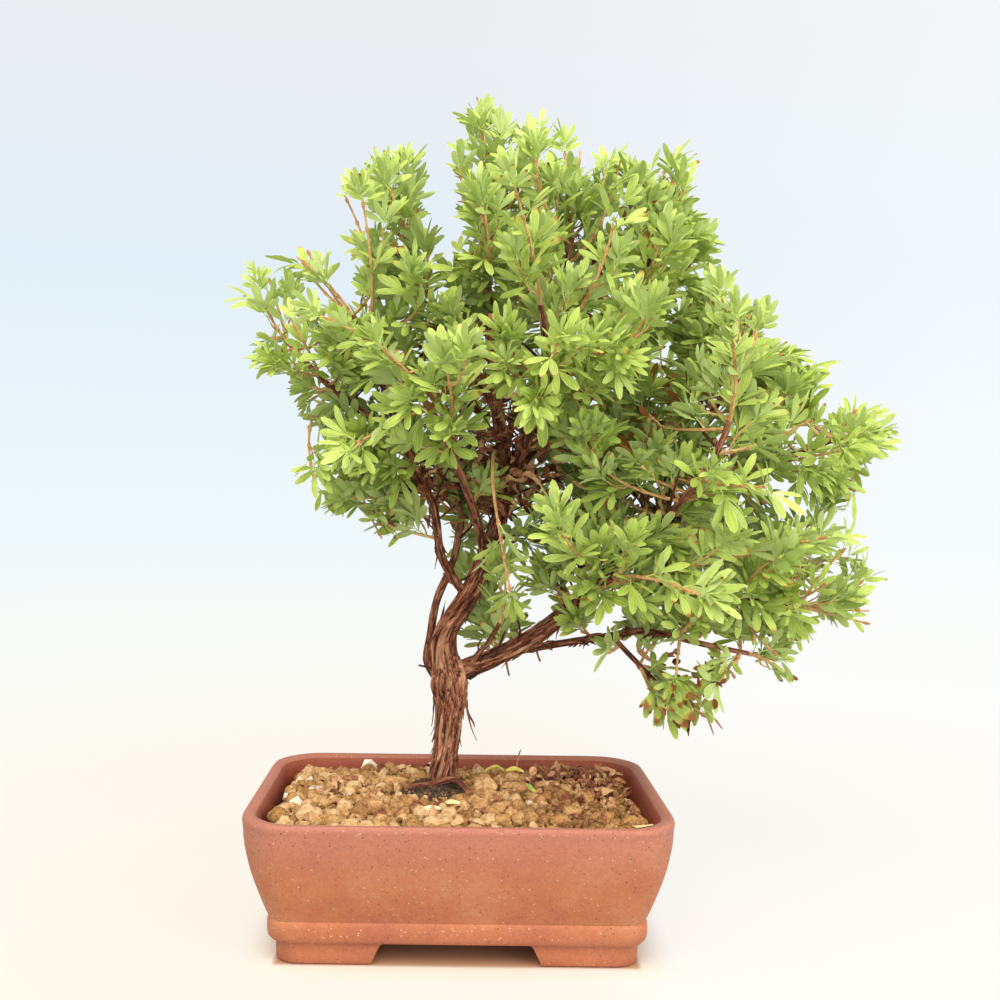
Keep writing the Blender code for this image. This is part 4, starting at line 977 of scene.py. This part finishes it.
def growShoot(pile, rng, points, tone, bare=0.0):
    while len(points) > 5 and inSky(points[-1]):  # pinched back where the photograph shows sky
        points = points[:-1]
    sparse = openness(points[-1]) > 0.82  # fewer leaves and twigs outside
    every = shootSettings["nodeEvery"] * (1.15 if sparse else 1)
    spots = growStem(pile, rng, points, 0.78, tone, 4, every, bare)
    span = (points[-1] - points[0]).length * (1 - bare)
    every = shootSettings["twigEvery"] * (2 if sparse else 1)
    for k, (base, axis, azimuth, t) in enumerate(spots):
        if k % every or t > 0.88:
            continue
        side = squareTo(axis, radians(azimuth + 40))
        reach = min(shootSettings["longestTwig"], 0.42 * span) * rng.uniform(0.75, 1.1)
        reach *= 1.1 - 0.6 * (t - bare) / (1 - bare)  # shorter towards the shoot's tip
        aim = (axis * 0.9 + side * 0.6 + Vector((0, 0, 0.3))).normalized()
        if inSky(base + aim * (reach + 6)):
            continue
        bend = base + (side * 0.8 + axis * 0.4).normalized() * reach * 0.5
        growStem(pile, rng, quadratic(base, bend, base + aim * reach, 4), 0.5, tone + 0.06, 3,
                 shootSettings["twigLeaf"])


def finishShoots(pile, name, nodes=()):
    return settle(pile, name, [leafSkin, shootSkin, sheathSkin], "leaf", 62, nodes)


def makeShoots():
    number = 0
    faces = 0
    for limb, ends in shoots.items():
        thick = max(p[3] for p in limbs[limb])
        route = smoothRoute(limbs[limb], 10 if thick > 4 else 18)
        for rank, end in enumerate(ends):
            number += 1
            rng = random.Random(shootSettings["seed"] * 100 + number)
            points = stemRoute(route, 1.0 - 0.14 * rank, end, rank == 0)
            pile = newPile()
            growShoot(pile, rng, points, 0.2 + rng.uniform(-0.06, 0.08))
            faces += finishShoots(pile, "shoot_%02d" % number, ["spray_%02d" % number])
    print("shoots on the solid sprays' stems:", number, "faces", faces)


def lobeTips(rng, centre, reach, count):  # even directions, and some deeper in the lobe than others
    turn = rng.uniform(0, 6.28)
    tips = []
    for k in range(count):
        level = 1 - 2 * (k + 0.5) / count
        around = turn + k * 2.39996
        flat = sqrt(1 - level * level)
        way = (flat * cos(around), flat * sin(around), level)
        deep = rng.uniform(0.12, 1.0) ** 0.5
        tips.append([centre[i] + way[i] * reach[i] * deep + rng.uniform(-4, 4) for i in range(3)])
    return tips


def makeFilling():  # more shoots between those, each from the nearest limb
    rng = random.Random(shootSettings["seed"])
    starts = limbPoints(5, *shootSettings["fillFrom"], ("trunk", "hook"))
    middle = Vector(shootSettings["middle"])
    tips = {lobe: lobeTips(rng, *spec) for lobe, spec in lobes.items()}
    tips["edge"] = edgeTips
    faces = 0
    for lobe, ends in tips.items():
        pile = newPile()
        for goal in map(Vector, ends):
            start = min(starts, key=lambda p: (goal - p.xyz).length + 0.5 * max(0, p[2] - goal[2] + 14)
                        + rng.uniform(0, 8))
            span = (goal - start.xyz).length
            lean = ((goal - middle).normalized() * 0.7 + Vector((0, 0, 0.9))).normalized()
            # the lowest hang or reach out level
            if goal[2] < shootSettings["hangBelow"] or goal[2] - start[2] < 8:
                lean = (goal - start.xyz).normalized()
            bend = goal - lean * span * 0.5
            leafy = shootSettings["edgeLeafy" if lobe == "edge" else "leafy"]
            points = quadratic(start.xyz, bend, goal, 9)
            if sum(map(inSky, points[2:-1])) > 1:  # a bow out into the sky is drawn straight
                points = quadratic(start.xyz, (start.xyz + goal) * 0.5, goal, 9)
                if sum(map(inSky, points[2:-1])) > 2:
                    continue
            growShoot(pile, rng, points, 0.16 + rng.uniform(-0.06, 0.08), max(0.0, 1 - leafy / max(span, 1)))
        faces += finishShoots(pile, "filling_" + lobe)
    print("filling shoots: faces", faces)


def makeHangingShoot():  # the pale shoot that hangs in front of the fork
    rng = random.Random(shootSettings["hangSeed"])
    pile = newPile()
    line = [(18, 4, 203, 0.9), (14.5, -20, 201, 0.85), (14.0, -30, 188, 0.8), (16.5, -31, 170, 0.75),
            (20.8, -30, 146, 0.6)]
    points = [p.xyz for p in smoothRoute([(leaned(x, z), y, z, r) for x, y, z, r in line], 6)]
    growStem(pile, rng, points, 0.85, 0.3, 4, 5.6, 0.62)
    finishShoots(pile, "hanging_shoot")


def makeInnerTwigs():  # old twigs in the crown's shade, dark and bare
    rng = random.Random(shootSettings["twigSeed"])
    pile = newPile()
    starts = limbPoints(6, *shootSettings["twigFrom"], ("trunk", "hook", "droop"))
    for k in range(shootSettings["innerTwigs"]):
        start = rng.choice(starts)
        way = Vector((rng.uniform(-1, 1), rng.uniform(-1, 1), rng.uniform(-0.1, 1.2))).normalized()
        reach = rng.uniform(18, 44)
        goal = start.xyz + way * reach
        if inSky(goal) or openness(goal) > shootSettings["shade"]:
            continue
        bend = start.xyz + way * reach * 0.5 + Vector([rng.uniform(-6, 6) for _ in range(3)])
        points = quadratic(start.xyz, bend, goal, 4)
        twig = tubeShape(tapered(points, rng.uniform(0.4, 0.8), 0.15), 4, 0.15, 0, k * 1.7)
        lay(pile, twig, still, (rng.uniform(0.2, 0.7), rng.uniform(0.35, 0.9), 0))
    settle(pile, "innerTwigs", [barkSkin], "along", 60)


# where the dry leaves hang: middle, spread each way, how many
dryPlaces = [((16, 6, 193), (14, 12, 10), 300), ((-16, 8, 188), (8, 8, 8), 60),
             ((96, -10, 115), (15, 8, 8), 30), ((22, 0, 222), (28, 26, 18), 190),
             ((74, 4, 196), (26, 24, 18), 190)]


def makeDryLeaves():  # last year's leaflets, withered and caught in the twigs
    rng = random.Random(shootSettings["drySeed"])
    pile = newPile()
    for centre, spread, count in dryPlaces:
        for _ in range(count):
            spot = [rng.gauss(centre[i], spread[i]) for i in range(3)]
            if inSky(spot) or spot[1] < -16:  # none in front of the limbs
                continue
            crumple = (rng.uniform(0.2, 0.55), rng.uniform(0.3, 0.8), rng.uniform(1.6, 4.0), 1)
            place = Matrix.Translation(at(*spot)) @ randomTurn(rng) @ Matrix.Diagonal(crumple)
            lay(pile, rng.choice(leaflets), place, (rng.random() ** 1.6, 0, 0))
    settle(pile, "witheredLeaves", [litterSkin], "leaf")


makeShoots()
makeFilling()
makeHangingShoot()
makeInnerTwigs()
makeDryLeaves()
print("shoots made")


# Soil: a bed of angular clay granules round a dark root ball

soilSettings = {"level": 51.0, "mound": 3.0, "pitch": 5.9, "radius": (2.3, 4.5), "seed": 5,
                "halfLength": 75.2, "halfDepth": 48.6, "trunkAt": (-10, 5), "ball": 15.0,
                "moundReach": (60, 45), "start": (-80, -51), "jitter": 1.5,
                "layers": (0.4, -2.6), "rows": 19, "columns": 29, "crumbs": 900,
                # the dust under the grains: size, drop, and where its corners are drawn in
                "dust": (153.5, 100.5), "dustDrop": 3.4, "corner": (66, 40, 10.5)}


def soilTop(x, y):
    (trunkX, trunkY), (reachX, reachY) = soilSettings["trunkAt"], soilSettings["moundReach"]
    away = hypot((x - trunkX) / reachX, (y - trunkY) / reachY)
    return soilSettings["level"] + soilSettings["mound"] * exp(-away * away)


def makeLump(seed, detail, rough, knobs):  # one granule: a ball knocked out of round, with creases
    lump = addPiece(bpy.ops.mesh.primitive_ico_sphere_add, "lump", subdivisions=detail, radius=1)
    offset = Vector((seed * 7.3, seed * 1.9, 0))
    for vert in lump.data.vertices:
        way = vert.co.copy()
        crease = abs(noise.noise(way * 1.9 + offset)) + 0.5 * abs(noise.noise(way * 3.4 + offset)) - 0.3
        vert.co *= 1 + rough * noise.noise(way * 1.1 + offset) + knobs * crease
        vert.co.z *= 0.86
    return readShape(lump)


def pellet(x, y, z, rng, radius):  # place, turn and size of one grain
    return Matrix.Translation(at(x, y, z)) @ randomTurn(rng) @ Matrix.Scale(radius * mm, 4)


def insideSoil(x, y, margin=0.0):
    halfX = soilSettings["halfLength"] - margin
    halfY = soilSettings["halfDepth"] - margin
    corner = hypot(max(abs(x) - halfX + 8, 0), max(abs(y) - halfY + 8, 0))
    return abs(x) < halfX and abs(y) < halfY and corner < 8


def makeSoil():
    rng = random.Random(soilSettings["seed"])
    lumps = [makeLump(k, 2, 0.4, 0.75) for k in range(9)]
    rough = [makeLump(60 + k, 1, 0.4, 0.4) for k in range(5)]
    crumbs = [makeLump(20 + k, 1, 0.4, 0.2) for k in range(4)]
    pile = newPile()
    pitch, jitter = soilSettings["pitch"], soilSettings["jitter"]
    (startX, startY), (small, large) = soilSettings["start"], soilSettings["radius"]
    trunkX, trunkY = soilSettings["trunkAt"]
    for layer, drop in enumerate(soilSettings["layers"]):
        for row in range(soilSettings["rows"]):
            for column in range(soilSettings["columns"]):
                x = startX + (column + (row % 2 + layer) / 2) * pitch + rng.uniform(-jitter, jitter)
                y = startY + row * pitch + rng.uniform(-jitter, jitter)
                radius = small + rng.uniform(0, 1) ** 1.3 * (large - small)
                if not insideSoil(x, y, radius * 0.4):
                    continue
                if hypot(x - trunkX, (y - trunkY) * 1.05) < soilSettings["ball"] + radius * 0.4:
                    continue
                z = soilTop(x, y) + drop + rng.uniform(-1.0, 1.1)
                matrix = pellet(x, y, z, rng, radius)
                darkening = 0.5 * clamp((x - 10) / 50) + 0.25 * layer  # darker at the right, and painted shade on the lower layer, seen between the top grains
                lay(pile, rng.choice(rough if layer else lumps), matrix,
                    (max(0.0, rng.uniform(0.2, 1.0) - darkening), 0, 0))
    for k in range(soilSettings["crumbs"]):
        x = rng.uniform(-76, 76)
        y = rng.uniform(-49, 49)
        if insideSoil(x, y, 1) and hypot(x - trunkX, y - trunkY) > 12:
            radius = rng.uniform(0.5, 1.3)
            height = soilTop(x, y) + rng.uniform(0.6, 2.2)
            crumb = rng.choice(crumbs)
            lay(pile, crumb, pellet(x, y, height, rng, radius), (rng.uniform(0.0, 0.9), 0, 0))
    settle(pile, "akadamaBed", [akadamaSkin], "grain", 85, ["soil"])


def makeSoilDust():  # what shows between the grains, tinted dark as painted shade
    length, depth = soilSettings["dust"]
    cornerX, cornerY, reach = soilSettings["corner"]
    bed = addPiece(bpy.ops.mesh.primitive_grid_add, "shadedSoilDust", potMid, (length * mm, depth * mm, 1),
                   x_subdivisions=60, y_subdivisions=40, size=1)
    for vert in bed.data.vertices:
        x, y = fromPot(vert.co)
        rise = 1.2 * noise.noise(Vector((x * 0.3, y * 0.3, 0))) - soilSettings["dustDrop"]
        vert.co.z = (soilTop(x, y) + rise) * mm
        pull = max(0, hypot(max(abs(x) - cornerX, 0), max(abs(y) - cornerY, 0)) - reach) * 0.72
        vert.co.x -= copysign(pull * mm, x)
        vert.co.y -= copysign(pull * mm, y)
    dust = bed.data.color_attributes.new("tint", "FLOAT_COLOR", "POINT")
    # the dark tint is painted shade between the grains
    dust.data.foreach_set("color", [0.12, 0, 0, 1] * len(bed.data.vertices))
    finishPiece(bed, [akadamaSkin])


ballSettings = {"place": (-9.5, 4.5, 50.8), "radius": 17.0, "height": 7.6, "dome": 8.0, "hairs": 190,
                "seed": 11}


def makeRootBall():
    middleX, middleY, middleZ = ballSettings["place"]
    wide = ballSettings["radius"]
    ball = addPiece(bpy.ops.mesh.primitive_ico_sphere_add, "peatBall", at(*ballSettings["place"]),
                    (wide * mm, wide * mm, ballSettings["height"] * mm), subdivisions=5, radius=1)
    for vert in ball.data.vertices:
        away = (vert.co - at(*ballSettings["place"])).normalized()
        vert.co += away * (noise.noise(vert.co * 420) + noise.noise(vert.co * 1300) * 0.6) * mm
    finishPiece(ball, [peatSkin], 60, ["root_ball"])
    rng = random.Random(ballSettings["seed"])
    pile = newPile()
    for _ in range(ballSettings["hairs"]):  # hair roots over the ball
        angle = rng.uniform(0, 2 * pi)
        reach = rng.uniform(0.3, 1.0)
        x = middleX + (wide - 1) * reach * cos(angle)
        y = middleY + (wide - 1) * reach * sin(angle)
        way = Vector((rng.uniform(-1, 1), rng.uniform(-1, 1), 0)).normalized()
        bits = []
        for i in range(5):
            point = Vector((x, y, 0)) + way * i * rng.uniform(0.7, 1.5)
            over = hypot((point.x - middleX) / wide, (point.y - middleY) / wide)
            point.z = middleZ + 0.2 + ballSettings["dome"] * sqrt(1 - min(over, 1) ** 2) + rng.uniform(0, 0.6)
            bits.append((*at(*point), rng.uniform(0.1, 0.22) * mm))
        lay(pile, tubeShape(bits, 4), still, (0.45 * rng.random() ** 2, 0, 0))
    settle(pile, "hairRoots", [peatSkin], "grain")


litterSettings = {"bits": 420, "heaped": 330, "twiglets": 60, "seed": 17}
# a dry blade that stands at the back
blade = [(28, 47, 52), (28.4, 47, 58), (29.4, 46, 62), (30, 45.6, 63.5)]
# fallen leaves and straws: tone from green to cream, half width, line
curls = [(0.42, 1.1, [(11, 30, 55), (14, 30, 58), (18, 31, 59), (21, 31, 57)]),
         (0.3, 1.1, [(22, 30, 57.4), (26, 30, 58.6), (30.5, 30, 57)]),
         (0.8, 0.45, [(66, -41, 54.4), (71, -41, 54.2), (77, -40, 54.8)]),
         (0.9, 1.1, [(-15, -27, 56.2), (-11, -27, 56.6), (-7, -26, 56.0)]),
         (0.7, 1.1, [(-5, -20, 56.6), (-2.6, -19, 56.9), (1, -19, 56.2)]),
         (0.0, 1.1, [(29.5, 6, 57.8), (31, 1, 58), (33, -4, 57.2)])]
# place, radius and tone
pebbles = [(-41.5, 45, 54.6, 3.9, 0.8), (-60.5, 4, 53.6, 3.9, 0.02), (-68, -14, 53.0, 3.5, 0.5),
           (-71.5, 24, 53.0, 3.1, 0.6), (-67.5, 22, 53.0, 2.8, 0.4), (-64, 6, 53.0, 2.8, 0.3),
           (-46, -4, 53.6, 2.6, 0.35), (-13, 44, 55.0, 3.0, 0.45), (-73, -4, 52.8, 2.6, 0.4),
           (30, -12, 54.2, 1.8, 0.2)]


def makeLitter():
    rng = random.Random(litterSettings["seed"])
    pile = newPile()
    for k in range(litterSettings["bits"]):  # heaped at the right and strewn thinly elsewhere
        heaped = k < litterSettings["heaped"]
        x = rng.gauss(56, 12) if heaped else rng.uniform(-72, 74)
        y = rng.gauss(22, 14) if heaped else rng.uniform(-46, 46)
        if not insideSoil(x, y, 3):
            continue
        z = soilTop(x, y) + rng.uniform(1.6, 3.4)
        turn = Matrix.Rotation(rng.uniform(0, 6.28), 4, "Z") @ Matrix.Rotation(rng.uniform(-0.9, 0.5), 4, "Y")
        turn = turn @ Matrix.Rotation(rng.uniform(-1.2, 1.2), 4, "X")
        size = Matrix.Diagonal((rng.uniform(0.2, 0.5), rng.uniform(0.35, 0.9), rng.uniform(1.0, 3.4), 1))
        lay(pile, rng.choice(leaflets), Matrix.Translation(at(x, y, z)) @ turn @ size, (rng.random(), 0, 0))
    for k in range(litterSettings["twiglets"]):
        x = rng.gauss(50, 22)
        y = rng.gauss(18, 18)
        if insideSoil(x, y, 6):
            z = soilTop(x, y) + rng.uniform(2.0, 3.4)
            way = Vector((rng.uniform(-1, 1), rng.uniform(-1, 1), rng.uniform(-0.1, 0.1))).normalized()
            bits = tapered([Vector((x, y, z)) + way * i * 1.6 for i in range(4)], 0.3)
            lay(pile, tubeShape(bits, 5, 0.2), still, (rng.random(), 0, 0))
    lay(pile, tubeShape(tapered(blade, 0.5), 5, 0.1, 0, 0, 0.4), still, (0.9, 0, 0))
    settle(pile, "dryLitter", [litterSkin], "leaf")
    pile = newPile()
    for tone, wide, line in curls:
        route = smoothRoute([Vector((*p, wide * (0.5 if i in (0, len(line) - 1) else 1)))
                             for i, p in enumerate(line)], 1.0)
        lay(pile, tubeShape(inMetres(route), 8, 0.05, 0, 0, 0.3), still, (tone, 0, 0))
    settle(pile, "yellowedLeaves", [straySkin], "leaf")
    lumps = [makeLump(40 + k, 1, 0.7, 0.3) for k in range(4)]
    pile = newPile()
    for x, y, z, radius, tone in pebbles:
        matrix = pellet(x, y, z, rng, radius)
        lay(pile, rng.choice(lumps), matrix, (tone, 0, 0))
    settle(pile, "palePebbles", [pebbleSkin], "grain", 25)


makeSoil()
makeSoilDust()
makeRootBall()
makeLitter()
for side in ("left", "right"):
    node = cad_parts["drain_mesh_" + side]
    node.data.materials.clear()
    node.data.materials.append(meshSkin)
print("soil made")


# Floor, light and background

lightSettings = {"sky": [(0.0, "#EFF8FB"), (0.21, "#E3EFF8"), (0.40, "#EBEDF1")],
                 "table": [(0.03, "#FFF8ED"), (0.06, "#FEFAF1"), (0.13, "#FAFAF5"), (0.33, "#F5FAF9"),
                           (0.9, "#EFF8FB")],
                 "right": [(0.1, "#FFFFFE"), (0.9, "#FBFEFF")], "tableReach": 5.0, "rightShare": 0.6,
                 "shaded": [(0.0, "#A88062"), (0.05, "#CCC3B6")], "glow": 0.86, "foot": (0.070, 0.0435, 0.0),
                 "lamps": {"key": ((-0.35, -0.7, 1.15), 0.9, 19.0, "#FFF8EC"),
                           "front": ((-0.1, -1.2, 0.3), 1.4, 9.0, "#FFFFFF"),
                           "fill": ((0.95, -0.75, 0.6), 0.8, 14.0, "#FFFFFF")}}


def makeStage():  # a white table lit from all sides, that only darkens close to the pot
    floor = addPiece(bpy.ops.mesh.primitive_circle_add, "floor", vertices=96, radius=40, fill_type="NGON")
    mat, tree, coords = newMaterial("whiteTable")
    away = addNode(tree, "VectorMath", {0: coords}, "Value", operation="LENGTH")
    share = addNode(tree, "Math", {0: away, 1: lightSettings["tableReach"]}, operation="DIVIDE")
    glow = addNode(tree, "ValToRGB", {0: share}, stops=lightSettings["table"])
    side = addNode(tree, "SeparateXYZ", {0: coords})
    side = addNode(tree, "Math", {0: side, 1: away}, operation="DIVIDE")
    side = addNode(tree, "MapRange", {0: side, 1: 0.0, 2: 0.42, 4: lightSettings["rightShare"]})
    right = addNode(tree, "ValToRGB", {0: share}, stops=lightSettings["right"])
    glow = addNode(tree, "Mix", {0: side, 6: glow, 7: right})
    glow = addNode(tree, "Emission", {"Color": glow})
    beside = coords  # the way to the nearest point of the pot's foot
    for operation, other in (("SUBTRACT", potMid), ("ABSOLUTE", (0, 0, 0)),
                             ("SUBTRACT", lightSettings["foot"]), ("MAXIMUM", (0, 0, 0))):
        beside = addNode(tree, "VectorMath", {0: beside, 1: other}, operation=operation)
    beside = addNode(tree, "VectorMath", {0: beside}, "Value", operation="LENGTH")
    near = addNode(tree, "MapRange", {0: beside, 2: 0.02, 4: lightSettings["glow"]},
                   interpolation_type="SMOOTHSTEP")
    shaded = addNode(tree, "ValToRGB", {0: near}, stops=lightSettings["shaded"])
    finishMaterial(mat, 0.9, 0.1, shaded)
    shader = tree.nodes["Principled BSDF"]
    far = addNode(tree, "MapRange", {0: away, 1: 0.22, 2: 0.7, 4: 1 - lightSettings["glow"]},
                  interpolation_type="SMOOTHSTEP")
    fade = addNode(tree, "Math", {0: near, 1: far}, operation="ADD")
    mix = addNode(tree, "MixShader", {0: fade, 1: shader.outputs[0], 2: glow})
    tree.links.new(mix, tree.nodes["Material Output"].inputs["Surface"])
    floor.data.materials.append(mat)


def makeLight():
    world = bpy.data.worlds.new("studio")
    world.use_nodes = True
    bpy.context.scene.world = world
    tree = world.node_tree
    coords = addNode(tree, "TexCoord", out="Generated")
    height = addNode(tree, "SeparateXYZ", {0: coords}, "Z")
    colour = addNode(tree, "ValToRGB", {0: height}, stops=lightSettings["sky"])
    side = addNode(tree, "MapRange", {0: height.node.outputs["X"], 1: 0.0, 2: 0.42,
                                      4: lightSettings["rightShare"]})
    colour = addNode(tree, "Mix", {0: side, 6: colour, 7: lightSettings["right"][1][1]})
    tree.links.new(colour, tree.nodes["Background"].inputs["Color"])
    for name, (place, size, power, colour) in lightSettings["lamps"].items():
        data = bpy.data.lights.new(name, "AREA")
        data.energy = power
        data.size = size
        data.color = hexColour(colour)[:3]
        light = bpy.data.objects.new(name, data)
        bpy.context.scene.collection.objects.link(light)
        light.location = place
        light.rotation_euler = (Vector((0, 0, 0.18)) - Vector(place)).to_track_quat("-Z", "Y").to_euler()
    bpy.context.scene.view_settings.view_transform = "Standard"


makeStage()
makeLight()
print("stage made")
